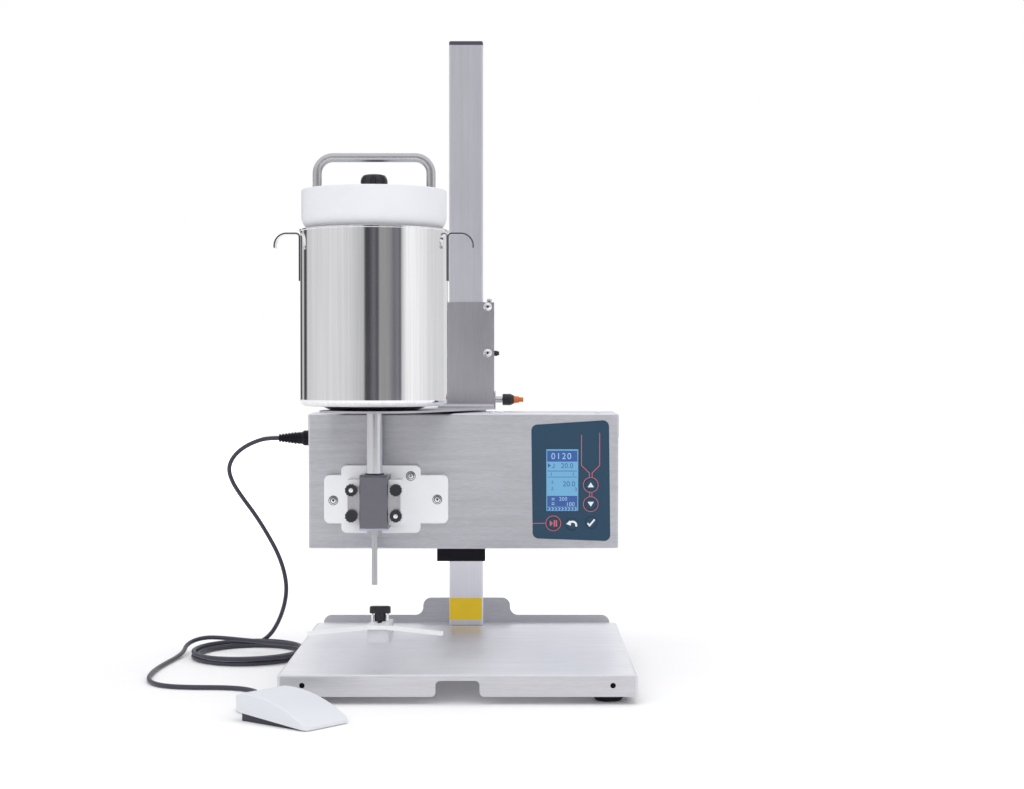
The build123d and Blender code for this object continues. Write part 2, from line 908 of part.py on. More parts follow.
with BuildPart() as mains_inlet:
    with BuildSketch(facing(inlet_x, inlet_face, inlet_z)):
        RectangleRounded(inlet_width, inlet_height, inlet_corner)
    extrude(amount=inlet_flange)
    with BuildSketch(facing(inlet_x, head_back, inlet_z)):
        Rectangle(inlet_width - 2 * inlet_flange - slide_gap, inlet_height - 2 * inlet_flange - slide_gap)
    extrude(amount=inlet_body_depth)
    with BuildSketch(facing(inlet_x, inlet_face, inlet_socket_z)):
        Rectangle(recess_width, recess_height)
        chamfer(vertices().group_by(Axis.Y)[-1], length=recess_chamfer)
    extrude(amount=recess_depth, mode=Mode.SUBTRACT)
    with BuildSketch(facing(inlet_x, inlet_face - recess_depth, inlet_socket_z)):
        with Locations(*contact_places):
            Rectangle(contact_width, contact_height)
    extrude(amount=-contact_depth)
    with BuildSketch(facing(inlet_x, inlet_face, rocker_z)):
        Rectangle(rocker_width + 2 * slide_gap, rocker_height + 2 * rocker_pocket_room)
    extrude(amount=rocker_pocket, mode=Mode.SUBTRACT)
    with BuildSketch(sideways(inlet_x, rocker_pivot_y, rocker_z)):
        Circle(pivot_radius + turn_gap)
    extrude(amount=rocker_width / 2 + pivot_length + slide_gap, both=True, mode=Mode.SUBTRACT)
mains_inlet.part.label = "mains_inlet"
export_step(mains_inlet.part, "parts/mains_inlet.step")

# Rocker with a pivot stub on each side, tilted to its off position

with BuildPart() as mains_switch:
    tilt = radians(rocker_tilt)
    rocker_plane = Plane(
        origin=at(inlet_x, rocker_pivot_y, rocker_z),
        x_dir=(0, cos(tilt), sin(tilt)),
        z_dir=(1, 0, 0))
    with BuildSketch(rocker_plane):
        Polygon(
            (-rocker_skirt, -rocker_height / 2),
            (rocker_end_height, -rocker_height / 2),
            (rocker_waist_height, 0),
            (rocker_end_height, rocker_height / 2),
            (-rocker_skirt, rocker_height / 2),
            (-rocker_keel, 0),
            align=None)
    extrude(amount=rocker_width / 2, both=True)
    with BuildSketch(rocker_plane):
        Circle(pivot_radius)
    extrude(amount=rocker_width / 2 + pivot_length, both=True)
mains_switch.part.label = "mains_switch"
export_step(mains_switch.part, "parts/mains_switch.step")

# Control panel, display and keys

with BuildPart() as control_label:
    with BuildSketch(facing(0, head_front, head_bottom)):
        Polygon(*panel_corners, align=None)
        fillet(vertices(), radius=panel_corner)
        with Locations((display_x, display_rise)):
            Rectangle(display_width, display_height, mode=Mode.SUBTRACT)
        with Locations(*key_places.values()):
            Circle(key_radius + key_gap, mode=Mode.SUBTRACT)
    extrude(amount=panel_thickness)
control_label.part.label = "control_label"
export_step(control_label.part, "parts/control_label.step")

with BuildPart() as display_window:
    with BuildSketch(facing(display_x, head_inside, display_z)):
        Rectangle(display_width - 2 * turn_gap, display_height - 2 * turn_gap)
    extrude(amount=head_sheet + panel_thickness - display_recess)
display_window.part.label = "display_window"
export_step(display_window.part, "parts/display_window.step")

with BuildPart() as control_board:
    with BuildSketch(facing(display_x, head_inside + module_thickness, display_z)):
        Rectangle(display_width + 2 * module_margin, display_height + 2 * module_margin)
    extrude(amount=module_thickness)
    with BuildSketch(facing(board_x, board_front + board_thickness, board_z)):
        Rectangle(board_width, board_height)
    extrude(amount=board_thickness)
    with BuildSketch(facing(display_x, board_front, display_z)):
        Rectangle(display_width / 2, display_height / 2)
    extrude(amount=board_gap - module_thickness)
    with BuildSketch(facing(board_x, board_front, board_z)):
        with GridLocations(board_width - 2 * post_inset, board_height - 2 * post_inset, 2, 2):
            Circle(post_radius)
    extrude(amount=board_gap)
    with BuildSketch(facing(0, board_front, head_bottom)):
        with Locations(*key_places.values()):
            Rectangle(switch_side, switch_side)
    extrude(amount=switch_height)
control_board.part.label = "control_board"
export_step(control_board.part, "parts/control_board.step")

key_back_y = head_front + key_skirt
for key_name, (key_x, key_rise) in key_places.items():
    with BuildPart() as key:
        with BuildSketch(facing(key_x, key_back_y, head_bottom + key_rise)):
            Circle(key_radius)
        extrude(amount=key_skirt + panel_thickness + key_proud)
        chamfer(key.faces().sort_by(Axis.Y)[0].edges(), length=key_edge)
        with BuildSketch(facing(key_x, key_back_y, head_bottom + key_rise)):
            Circle(key_stem)
        extrude(amount=-(board_front - switch_height - key_travel - turn_gap - key_back_y))
    key.part.label = key_name
    export_step(key.part, f"parts/{key_name}.step")

# Gearmotor on the inside of the head's front wall

with BuildPart() as gearmotor:
    with BuildSketch(facing(drive_x, head_inside, pump_z)):
        RectangleRounded(gearbox_side, gearbox_side, gearbox_corner)
    extrude(amount=-gearbox_length)
    with BuildSketch(facing(drive_x, head_inside + gearbox_length, pump_z)):
        Circle(motor_radius)
    extrude(amount=-motor_length)
    chamfer(gearmotor.faces().sort_by(Axis.Y)[-1].edges(), length=motor_edge)
    with BuildSketch(facing(drive_x, head_inside, pump_z)):
        Circle(shaft_radius + turn_gap)
    extrude(amount=-(drive_shaft_back + slide_gap), mode=Mode.SUBTRACT)
gearmotor.part.label = "gearmotor"
export_step(gearmotor.part, "parts/gearmotor.step")

# Pump: mounting plate with a block on each side of the body, flange bar, body with two gears and front cover

with BuildPart() as pump_back_plate:
    with BuildSketch(facing(0, head_front, plate_z)):
        with Locations((plate_core_x, 0)):
            Rectangle(*plate_core)
        with Locations((plate_wings_x, 0)):
            Rectangle(*plate_wings)
        rows = vertices().group_by(Axis.Y)
        wing_corners = rows[1] + rows[2]
        outer_corners = wing_corners.sort_by(Axis.X)[:2] + wing_corners.sort_by(Axis.X)[-2:]
        inner_corners = [corner for corner in wing_corners if corner not in outer_corners]
        fillet(rows[0] + rows[-1] + outer_corners, radius=plate_corner)
        fillet(inner_corners, radius=plate_inner_corner)
    extrude(amount=back_plate_thickness)
    chamfer(pump_back_plate.faces().sort_by(Axis.Y)[0].edges(), length=plate_rim)
    with BuildSketch(facing(pump_x, plate_front, pump_z)):
        Rectangle(side_block_width, side_block_height)
        Rectangle(pump_width + 2 * slide_gap, side_block_height, mode=Mode.SUBTRACT)
    extrude(amount=plate_front - flange_back)
    with BuildSketch(facing(pump_x, head_front, pump_z)):
        with GridLocations(knob_spread_x, knob_spread_z, 2, 2):
            Circle(stud_radius + turn_gap)
    extrude(amount=head_front - flange_back, mode=Mode.SUBTRACT)
    with BuildSketch(facing(drive_x, head_front, pump_z)):
        Circle(shaft_radius + shaft_room)
    extrude(amount=back_plate_thickness, mode=Mode.SUBTRACT)
pump_back_plate.part.label = "pump_back_plate"
export_step(pump_back_plate.part, "parts/pump_back_plate.step")

with BuildPart() as pump_flange:
    with BuildSketch(facing(pump_x, flange_back, pump_z)):
        RectangleRounded(flange_width, flange_height, flange_corner)
        with GridLocations(gear_spacing, 0, 2, 1):
            Circle(shaft_radius + turn_gap, mode=Mode.SUBTRACT)
        with GridLocations(knob_spread_x, knob_spread_z, 2, 2):
            Circle(stud_radius + turn_gap, mode=Mode.SUBTRACT)
    extrude(amount=flange_thickness)
pump_flange.part.label = "pump_flange"
export_step(pump_flange.part, "parts/pump_flange.step")

with BuildPart() as pump_body:
    with BuildSketch(facing(pump_x, plate_front, pump_z)):
        Rectangle(pump_width, pump_height)
    extrude(amount=plate_front - flange_front)
    chamfer(pump_body.edges().filter_by(Axis.Y), length=pump_edge)
    with BuildSketch(facing(pump_x, flange_back, pump_z)):
        Rectangle(pump_width, flange_height + 2 * turn_gap)
    extrude(amount=flange_thickness, mode=Mode.SUBTRACT)
    with BuildSketch(facing(pump_x, flange_back, pump_z)):
        with GridLocations(gear_spacing, 0, 2, 1):
            Circle(gear_tip_radius + gear_tip_gap)
        Rectangle(gear_spacing, gear_tip_radius)
    extrude(amount=-(gear_width + 2 * gear_side_gap), mode=Mode.SUBTRACT)
    with BuildSketch(facing(drive_x, plate_front, pump_z)):
        Circle(shaft_radius + turn_gap)
    extrude(amount=plate_front - gear_back, mode=Mode.SUBTRACT)
    with BuildSketch(facing(idler_x, gear_back, pump_z)):
        Circle(shaft_radius + turn_gap)
    extrude(amount=-(gear_side_gap + idler_shaft_back), mode=Mode.SUBTRACT)
    with BuildSketch(level(pump_x, pot_y, pump_top)):
        Circle(tube_radius + slide_gap)
    extrude(amount=-(tube_insert + slide_gap), mode=Mode.SUBTRACT)
    with BuildSketch(level(pump_x, pot_y + passage_back, pump_top)):
        Circle(passage_radius)
    extrude(amount=gear_root_radius - pump_height / 2, mode=Mode.SUBTRACT)
    with BuildSketch(level(pump_x, pot_y, pump_bottom)):
        Circle(outlet_radius)
    extrude(amount=pump_height / 2 - gear_root_radius, mode=Mode.SUBTRACT)
pump_body.part.label = "pump_body"
export_step(pump_body.part, "parts/pump_body.step")

with BuildPart() as pump_cover:
    with BuildSketch(facing(pump_x, flange_front, pump_z)):
        Rectangle(pump_width, pump_height)
    extrude(amount=pump_cover_thickness)
    front_edges = pump_cover.faces().sort_by(Axis.Y)[0].edges().group_by(Axis.Z)
    chamfer(front_edges[0] + front_edges[-1], length=pump_cover_slope)
    chamfer(pump_cover.edges().filter_by(Axis.Z), length=pump_edge)
pump_cover.part.label = "pump_cover"
export_step(pump_cover.part, "parts/pump_cover.step")


def tooth_outline(first_tooth_angle):
    """Points round a spur gear: each tooth narrows from its root to its tip on straight flanks."""
    points = []
    flank = list(zip((gear_root_radius, gear_pitch_radius, gear_tip_radius), tooth_shares))
    steps = [(radius, -share) for radius, share in flank]
    steps += reversed(flank)
    for tooth in range(gear_teeth):
        for radius, share in steps:
            angle = radians(first_tooth_angle) + 2 * pi * (tooth + share) / gear_teeth
            points.append((radius * cos(angle), radius * sin(angle)))
    return points


half_tooth = 180 / gear_teeth
gear_table = (
    ("drive_gear", drive_x, 180, head_inside + drive_shaft_back),
    ("idler_gear", idler_x, half_tooth, gear_back + gear_side_gap + idler_shaft_back - slide_gap),
)
for gear_name, gear_x, first_angle, shaft_end in gear_table:
    with BuildPart() as gear:
        with BuildSketch(facing(gear_x, gear_back, pump_z)):
            Polygon(*tooth_outline(first_angle), align=None)
        extrude(amount=gear_width)
        with BuildSketch(facing(gear_x, shaft_end, pump_z)):
            Circle(shaft_radius)
        extrude(amount=shaft_end - flange_front - slide_gap)
    gear.part.label = gear_name
    export_step(gear.part, f"parts/{gear_name}.step")

for row_name, row in (("upper", 1), ("lower", -1)):
    for side_name, side in (("left", -1), ("right", 1)):
        knob_x = pump_x + side * knob_spread_x / 2
        knob_z = pump_z + row * knob_spread_z / 2
        with BuildPart() as thumb_knob:
            with BuildSketch(facing(knob_x, flange_front - slide_gap, knob_z)):
                Circle(knob_radius)
                with PolarLocations(knob_radius + knob_scallop_inset, knob_scallops):
                    Circle(knob_scallop_radius, mode=Mode.SUBTRACT)
            extrude(amount=knob_length)
            with BuildSketch(facing(knob_x, flange_front - slide_gap, knob_z)):
                Circle(stud_radius)
            extrude(amount=-(head_front - flange_front + slide_gap + head_sheet / 2))
            with BuildSketch(facing(knob_x, flange_front - slide_gap - knob_length, knob_z)):
                Circle(stud_radius)
            extrude(amount=stud_proud)
        thumb_knob.part.label = f"thumb_knob_{row_name}_{side_name}"
        export_step(thumb_knob.part, f"parts/thumb_knob_{row_name}_{side_name}.step")

with BuildPart() as nozzle:
    with BuildSketch(level(pump_x, pot_y, nozzle_tip)):
        Circle(nozzle_radius)
    extrude(amount=nozzle_length)
    chamfer(nozzle.faces().sort_by(Axis.Z)[0].edges(), length=nozzle_chamfer)
    with BuildSketch(level(pump_x, pot_y, nozzle_shoulder)):
        Circle(nozzle_neck)
    extrude(amount=pump_bottom - nozzle_shoulder)
    with BuildSketch(level(pump_x, pot_y, pump_bottom)):
        Circle(nozzle_collar)
    extrude(amount=-nozzle_collar_height)
    with BuildSketch(level(pump_x, pot_y, nozzle_tip)):
        Circle(outlet_radius)
    extrude(amount=nozzle_length, mode=Mode.SUBTRACT)
nozzle.part.label = "nozzle"
export_step(nozzle.part, "parts/nozzle.step")

with BuildPart() as nozzle_nut:
    with BuildSketch(level(pump_x, pot_y, pump_bottom - nozzle_nut_height)):
        RegularPolygon(nozzle_nut_radius, 6)
        Circle(nozzle_neck + turn_gap, mode=Mode.SUBTRACT)
    extrude(amount=nozzle_nut_height)
    with BuildSketch(level(pump_x, pot_y, pump_bottom)):
        Circle(nozzle_collar + turn_gap)
    extrude(amount=-nozzle_collar_height, mode=Mode.SUBTRACT)
nozzle_nut.part.label = "nozzle_nut"
export_step(nozzle_nut.part, "parts/nozzle_nut.step")

# Hopper bracket: a round shelf under the pot, folded up to an upright with side flanges

with BuildPart() as hopper_bracket:
    with BuildSketch(level(0, 0, shelf_bottom)):
        with Locations((pot_x, pot_y)):
            Circle(shelf_radius)
        with Locations((0, bracket_front - bracket_fold)):
            Rectangle(bracket_width, bracket_lap, align=(Align.CENTER, Align.MAX))
        make_hull()
        with Locations((pot_x, pot_y)):
            Circle(tube_radius + 2 * slide_gap, mode=Mode.SUBTRACT)
    extrude(amount=bracket_sheet)
    with BuildSketch(sideways(-bracket_width / 2, 0, 0)):
        with BuildLine():
            fold_path = FilletPolyline(
                (bracket_front - bracket_fold - bracket_lap, shelf_bottom),
                (bracket_inside, shelf_bottom),
                (bracket_inside, bracket_top),
                radius=bracket_fold + bracket_sheet)
            offset(fold_path, amount=bracket_sheet, side=Side.LEFT)
        make_face()
    extrude(amount=bracket_width)
    for side in (-1, 1):
        outer = side * bracket_width / 2
        with BuildSketch(sideways(outer, 0, 0)):
            Polygon(
                (bracket_inside, shelf_bottom),
                (bracket_front + bracket_flange_depth, shelf_bottom),
                (bracket_front + bracket_flange_depth, bracket_top - bracket_corner),
                (bracket_front + bracket_flange_depth - bracket_corner, bracket_top),
                (bracket_front, bracket_top),
                (bracket_front, shelf_bottom + bracket_fold + bracket_sheet),
                align=None)
        extrude(amount=-side * bracket_sheet)
    with BuildSketch(sideways(bracket_width / 2, plunger_y, plunger_z)):
        Circle(sleeve_radius)
    extrude(amount=-bracket_sheet, mode=Mode.SUBTRACT)
hopper_bracket.part.label = "hopper_bracket"
export_step(hopper_bracket.part, "parts/hopper_bracket.step")

with BuildPart() as bracket_spacer:
    with BuildSketch(level(0, head_back - spacer_depth, head_top)):
        Rectangle(spacer_width, spacer_depth)
    extrude(amount=bracket_lift)
bracket_spacer.part.label = "bracket_spacer"
export_step(bracket_spacer.part, "parts/bracket_spacer.step")

with BuildPart() as upper_slide_block:
    with BuildSketch(level(0, (bracket_inside + slide_back) / 2, upper_block_bottom)):
        Rectangle(bracket_width - 2 * bracket_sheet, slide_back - bracket_inside)
        with Locations((0, column_y - (bracket_inside + slide_back) / 2)):
            Rectangle(column_width + 2 * slide_gap, column_depth + 2 * slide_gap, mode=Mode.SUBTRACT)
    extrude(amount=upper_block_height)
upper_slide_block.part.label = "upper_slide_block"
export_step(upper_slide_block.part, "parts/upper_slide_block.step")

# Spring plunger: a fixed sleeve on a small plate, and a grip with its pin that pulls out to the right

plate_right = bracket_width / 2 + plate_thickness
with BuildPart() as plunger_sleeve:
    with BuildSketch(sideways(bracket_width / 2, plunger_y, plate_level)):
        RectangleRounded(plate_depth, plate_height, plate_edge)
    extrude(amount=plate_thickness)
    with BuildSketch(sideways(bracket_width / 2 - bracket_sheet, plunger_y, plunger_z)):
        Circle(sleeve_radius)
    extrude(amount=bracket_sheet + plate_thickness + sleeve_length)
    with BuildSketch(sideways(bracket_width / 2 - bracket_sheet, plunger_y, plunger_z)):
        Circle(pin_radius + turn_gap)
    extrude(amount=bracket_sheet + plate_thickness + sleeve_length, mode=Mode.SUBTRACT)
plunger_sleeve.part.label = "plunger_sleeve"
export_step(plunger_sleeve.part, "parts/plunger_sleeve.step")

grip_left = plate_right + sleeve_length + slide_gap
with BuildPart() as plunger_grip:
    with BuildSketch(facing(0, plunger_y, plunger_z)):
        with BuildLine():
            Polyline(
                (column_width / 2 + slide_gap, 0),
                (column_width / 2 + slide_gap, pin_radius - pin_chamfer),
                (column_width / 2 + slide_gap + pin_chamfer, pin_radius),
                (grip_left, pin_radius),
                (grip_left, grip_radius - grip_edge),
                (grip_left + grip_edge, grip_radius),
                (grip_left + grip_length - grip_taper_length, grip_radius),
                (grip_left + grip_length, grip_end_radius),
                (grip_left + grip_length, 0),
                close=True)
        make_face()
    revolve(axis=Axis(at(0, plunger_y, plunger_z), (1, 0, 0)))
plunger_grip.part.label = "plunger_grip"
export_step(plunger_grip.part, "parts/plunger_grip.step")

ring_left = grip_left + grip_length
with BuildPart() as plunger_ring:
    with BuildSketch(facing(0, plunger_y, plunger_z)):
        with BuildLine():
            Polyline(
                (ring_left, 0),
                (ring_left, ring_radius),
                (ring_left + ring_length, ring_radius - ring_taper),
                (ring_left + ring_length, tip_radius),
                (ring_left + ring_length + tip_length, tip_radius),
                (ring_left + ring_length + tip_length, 0),
                close=True)
        make_face()
    revolve(axis=Axis(at(0, plunger_y, plunger_z), (1, 0, 0)))
plunger_ring.part.label = "plunger_ring"
export_step(plunger_ring.part, "parts/plunger_ring.step")

# Pot with a shallow well in its floor, outlet tube and strap handles

with BuildPart() as pot:
    with BuildSketch(facing(pot_x, pot_y, 0)):
        with BuildLine():
            Polyline(
                (tube_bore, shelf_top),
                (well_radius, shelf_top),
                (well_slope_radius, pot_bottom),
                (pot_outer - pot_corner, pot_bottom))
            RadiusArc(
                (pot_outer - pot_corner, pot_bottom),
                (pot_outer, pot_bottom + pot_corner),
                -pot_corner)
            Polyline(
                (pot_outer, pot_bottom + pot_corner),
                (pot_outer, pot_rim - 2 * rim_bead),
                (pot_outer + rim_bead, pot_rim - 1.5 * rim_bead),
                (pot_outer + rim_bead, pot_rim - rim_bead / 2),
                (pot_outer, pot_rim),
                (pot_inner, pot_rim),
                (pot_inner, pot_bottom + pot_corner))
            RadiusArc(
                (pot_inner, pot_bottom + pot_corner),
                (pot_outer - pot_corner, pot_bottom + pot_wall),
                pot_corner - pot_wall)
            Polyline(
                (pot_outer - pot_corner, pot_bottom + pot_wall),
                (well_slope_radius, pot_bottom + pot_wall),
                (well_radius, shelf_top + pot_wall),
                (tube_bore, shelf_top + pot_wall),
                (tube_bore, shelf_top))
        make_face()
    revolve(axis=upright(pot_x, pot_y))
pot.part.label = "pot"
export_step(pot.part, "parts/pot.step")

with BuildPart() as outlet_tube:
    with BuildSketch(level(pot_x, pot_y, pump_top - tube_insert)):
        Circle(tube_radius)
        Circle(tube_bore, mode=Mode.SUBTRACT)
    extrude(amount=shelf_top - pump_top + tube_insert)
outlet_tube.part.label = "outlet_tube"
export_step(outlet_tube.part, "parts/outlet_tube.step")

for side_name, side in (("left", -1), ("right", 1)):
    with BuildPart() as pot_handle:
        with BuildSketch(facing(pot_x, pot_y + handle_width / 2, 0)):
            with BuildLine():
                FilletPolyline(
                    (side * (pot_outer - strap_lap), strap_top - handle_tab),
                    (side * (pot_outer - strap_lap), strap_top),
                    (side * (handle_reach - strap_curl), strap_top),
                    radius=strap_fold)
                TangentArc(
                    (side * (handle_reach - strap_curl), strap_top),
                    (side * (handle_reach - strap_end), strap_top - handle_drop),
                    tangent=(side, 0))
                offset(amount=handle_strap, side=Side.RIGHT if side > 0 else Side.LEFT)
            make_face()
        extrude(amount=handle_width)
        with BuildSketch(level(pot_x, pot_y, strap_top - handle_tab)):
            Circle(pot_outer)
        extrude(amount=handle_tab + 2 * handle_strap, mode=Mode.SUBTRACT)
    pot_handle.part.label = f"pot_handle_{side_name}"
    export_step(pot_handle.part, f"parts/pot_handle_{side_name}.step")

# Pusher: white disc with a rounded lower edge, lip seal, bent tube handle and vent knob

pusher_radius = pot_inner - pusher_clearance
pusher_bottom = pusher_nose_top - pusher_nose_height
with BuildPart() as pusher_disc:
    with BuildSketch(facing(pot_x, pot_y, 0)):
        with BuildLine():
            Polyline(
                (0, pusher_bottom),
                (pusher_nose_radius, pusher_bottom),
                (pusher_nose_radius, pusher_nose_top))
            ThreePointArc(
                (pusher_nose_radius, pusher_nose_top),
                (pusher_radius - pusher_shoulder[0], pusher_nose_top + pusher_shoulder[1]),
                (pusher_radius, pusher_top - pusher_side))
            FilletPolyline(
                (pusher_radius, pusher_top - pusher_side),
                (pusher_radius, pusher_top),
                (0, pusher_top),
                radius=pusher_edge)
            Polyline((0, pusher_top), (0, pusher_bottom))
        make_face()
    revolve(axis=upright(pot_x, pot_y))
    with BuildSketch(level(pot_x, pot_y, pusher_top)):
        with GridLocations(handle_leg_spread, 0, 2, 1):
            Circle(handle_bar / 2)
    extrude(amount=-handle_socket, mode=Mode.SUBTRACT)
    with BuildSketch(level(pot_x, pot_y, pusher_top)):
        Circle(vent_stem + turn_gap)
    extrude(amount=-vent_stem_depth - slide_gap, mode=Mode.SUBTRACT)
pusher_disc.part.label = "pusher_disc"
export_step(pusher_disc.part, "parts/pusher_disc.step")

with BuildPart() as pusher_seal:
    with BuildSketch(level(pot_x, pot_y, pusher_bottom)):
        Circle(pot_inner - seal_clearance)
        Circle(pusher_nose_radius, mode=Mode.SUBTRACT)
    extrude(amount=seal_height)
    chamfer(pusher_seal.faces().sort_by(Axis.Z)[0].outer_wire().edges(), length=seal_edge)
pusher_seal.part.label = "pusher_seal"
export_step(pusher_seal.part, "parts/pusher_seal.step")

with BuildPart() as pusher_handle:
    handle_axis_top = pusher_top + handle_rise - handle_bar / 2
    with BuildLine(facing(pot_x, pot_y, 0)) as handle_path:
        FilletPolyline(
            (-handle_leg_spread / 2, pusher_top - handle_socket),
            (-handle_leg_spread / 2, handle_axis_top),
            (handle_leg_spread / 2, handle_axis_top),
            (handle_leg_spread / 2, pusher_top - handle_socket),
            radius=handle_corner)
    with BuildSketch(level(pot_x - handle_leg_spread / 2, pot_y, pusher_top - handle_socket)):
        Circle(handle_bar / 2)
    sweep()
pusher_handle.part.label = "pusher_handle"
export_step(pusher_handle.part, "parts/pusher_handle.step")

with BuildPart() as vent_knob:
    vent_bottom = pusher_top + slide_gap + vent_hub_height
    with BuildSketch(facing(pot_x, pot_y, 0)):
        with BuildLine():
            Polyline((0, vent_bottom), (vent_radius - vent_edge / 2, vent_bottom))
            ThreePointArc(
                (vent_radius - vent_edge / 2, vent_bottom),
                (vent_radius, vent_bottom + vent_height / 2),
                (vent_radius - vent_edge, vent_bottom + vent_height - vent_edge / 4))
            Polyline(
                (vent_radius - vent_edge, vent_bottom + vent_height - vent_edge / 4),
                (vent_radius - 2 * vent_edge, vent_bottom + vent_height),
                (0, vent_bottom + vent_height),
                (0, vent_bottom))
        make_face()
    revolve(axis=upright(pot_x, pot_y))
    with BuildSketch(level(pot_x, pot_y, vent_bottom)):
        with PolarLocations(vent_radius + vent_lobe_inset, vent_lobes):
            Circle(vent_lobe_radius)
    extrude(amount=vent_height, mode=Mode.SUBTRACT)
    with BuildSketch(level(pot_x, pot_y, vent_bottom)):
        Circle(vent_hub_radius)
    extrude(amount=-vent_hub_height)
    with BuildSketch(level(pot_x, pot_y, pusher_top + slide_gap)):
        Circle(vent_stem)
    extrude(amount=-vent_stem_depth - slide_gap)
vent_knob.part.label = "vent_knob"
export_step(vent_knob.part, "parts/vent_knob.step")


# Cable: a drop beside the head, a loose coil of two layers and a lead to the pedal


def corner_radii(points):
    """For each corner of a route, the largest arc that its two runs allow."""
    radii = []
    for before, corner, after in zip(points, points[1:], points[2:]):
        first = Vector(*corner) - Vector(*before)
        second = Vector(*after) - Vector(*corner)
        turn = radians(first.get_angle(second))
        radii.append(0.45 * min(first.length, second.length) / tan(turn / 2))
    return radii


def coil_place(angle):
    """The coil's middle line: it spirals in, climbs a layer where it turns back, and spirals out."""
    turns = (coil_reverse - abs(angle - coil_reverse) - coil_start) / 360
    climb = min(max((angle - coil_reverse + 90) / 180, 0), 1)
    height = cable_floor + coil_layer * climb * climb * (3 - 2 * climb)
    reach_x = coil_radius_x - coil_pitch * turns
    reach_y = coil_radius_y - coil_pitch * turns
    return Vector(*at(
        coil_x + reach_x * cos(radians(angle)),
        coil_y + reach_y * sin(radians(angle)),
        height))


def coil_heading(angle):
    """The direction in which the coil runs."""
    return (coil_place(angle + 0.5) - coil_place(angle - 0.5)).normalized()


def biarc_joint(start, start_heading, end, end_heading):
    """The point where two arcs meet that join two places with the given headings."""
    chord = end - start
    headings = start_heading + end_heading
    along = chord.dot(headings)
    bend = 2 * (1 - start_heading.dot(end_heading))
    reach = (sqrt(along * along + bend * chord.dot(chord)) - along) / bend
    return (start + start_heading * reach + end - end_heading * reach) * 0.5


coil_steps = round((coil_end - coil_start) / coil_step)
coil_angles = [coil_start + step * (coil_end - coil_start) / coil_steps for step in range(coil_steps + 1)]
coil_first = coil_place(coil_start) - coil_heading(coil_start) * cable_diameter
coil_last = coil_place(coil_end) + coil_heading(coil_end) * cable_diameter

with BuildPart() as foot_cable_coil:
    with BuildLine() as coil_line:
        Line(coil_first, coil_place(coil_start))
        for start_angle, end_angle in zip(coil_angles, coil_angles[1:]):
            start, end = coil_place(start_angle), coil_place(end_angle)
            joint = biarc_joint(start, coil_heading(start_angle), end, coil_heading(end_angle))
            first_arc = TangentArc(start, joint, tangent=coil_heading(start_angle))
            TangentArc(joint, end, tangent=first_arc % 1)
        Line(coil_place(coil_end), coil_last)
    with BuildSketch(Plane(origin=coil_first, z_dir=coil_heading(coil_start))):
        Circle(cable_diameter / 2)
    sweep()
foot_cable_coil.part.label = "foot_cable_coil"
export_step(foot_cable_coil.part, "parts/foot_cable_coil.step")

drop_points = [at(plug_end, socket_y, socket_z)]
drop_points += [at(*place) for place in drop_route]
drop_points += [tuple(coil_first)]
lead_points = [tuple(coil_last)]
lead_points += [at(*place) for place in lead_route]
lead_points += [at(*pedal_offset(along, 0), entry_height) for along in (-entry_reach, base_inset)]
cable_area = pi * cable_diameter ** 2 / 4

for stretch_name, points in (("foot_cable_drop", drop_points), ("foot_cable_lead", lead_points)):
    radii = corner_radii(points)
    with BuildPart() as stretch:
        with BuildLine() as stretch_line:
            FilletPolyline(*points, radius=radii)
        with BuildSketch(Plane(origin=points[0], z_dir=stretch_line.line % 0)):
            Circle(cable_diameter / 2)
        sweep()
    stretch.part.label = stretch_name
    export_step(stretch.part, f"parts/{stretch_name}.step")
    length = sum(edge.length for edge in stretch_line.edges())
    print(stretch_name, "radii", [round(radius, 1) for radius in radii])
    print(stretch_name, "length", round(length), "volume share", stretch.part.volume / cable_area / length)

# The coil's least gap to itself, on places along its arcs more than a third of a turn apart
coil_length = sum(edge.length for edge in coil_line.edges())
print("foot_cable_coil length", round(coil_length), "volume share",
      foot_cable_coil.part.volume / cable_area / coil_length)
samples = [edge @ (step / arc_samples) for edge in coil_line.edges() for step in range(arc_samples)]
least_gap = min(
    (first - second).length - cable_diameter
    for place, first in enumerate(samples)
    for second in samples[place + 3 * arc_samples:])
print("foot_cable_coil least gap to itself", round(least_gap, 2))
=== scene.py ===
"""Looks of the cream filling machine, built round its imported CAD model.

Places are given as on the machine, in millimetres from the middle of the tray's front edge at floor level
(x to the right, y away from the operator, z up), and place() turns them into the frame's metres.
"""

from math import cos, pi, radians, sin

import bmesh
import bpy
from mathutils import Matrix, Vector


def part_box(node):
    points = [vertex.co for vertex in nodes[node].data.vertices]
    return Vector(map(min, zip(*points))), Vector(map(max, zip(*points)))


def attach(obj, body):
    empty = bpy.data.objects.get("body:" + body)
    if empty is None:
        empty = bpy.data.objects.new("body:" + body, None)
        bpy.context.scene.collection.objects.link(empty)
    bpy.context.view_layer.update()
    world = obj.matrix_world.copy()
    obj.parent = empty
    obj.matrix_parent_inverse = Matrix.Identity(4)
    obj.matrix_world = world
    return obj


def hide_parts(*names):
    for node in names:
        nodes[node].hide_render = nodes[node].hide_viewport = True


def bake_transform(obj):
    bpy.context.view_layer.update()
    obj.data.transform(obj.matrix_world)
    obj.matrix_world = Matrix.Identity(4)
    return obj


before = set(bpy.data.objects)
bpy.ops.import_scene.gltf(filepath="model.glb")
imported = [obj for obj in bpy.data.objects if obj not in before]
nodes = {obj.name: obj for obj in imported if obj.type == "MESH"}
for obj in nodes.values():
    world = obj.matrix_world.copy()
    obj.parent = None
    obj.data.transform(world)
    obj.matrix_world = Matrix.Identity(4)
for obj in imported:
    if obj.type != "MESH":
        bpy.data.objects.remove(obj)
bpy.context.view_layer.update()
scene = bpy.context.scene
scene.view_settings.view_transform = "Standard"

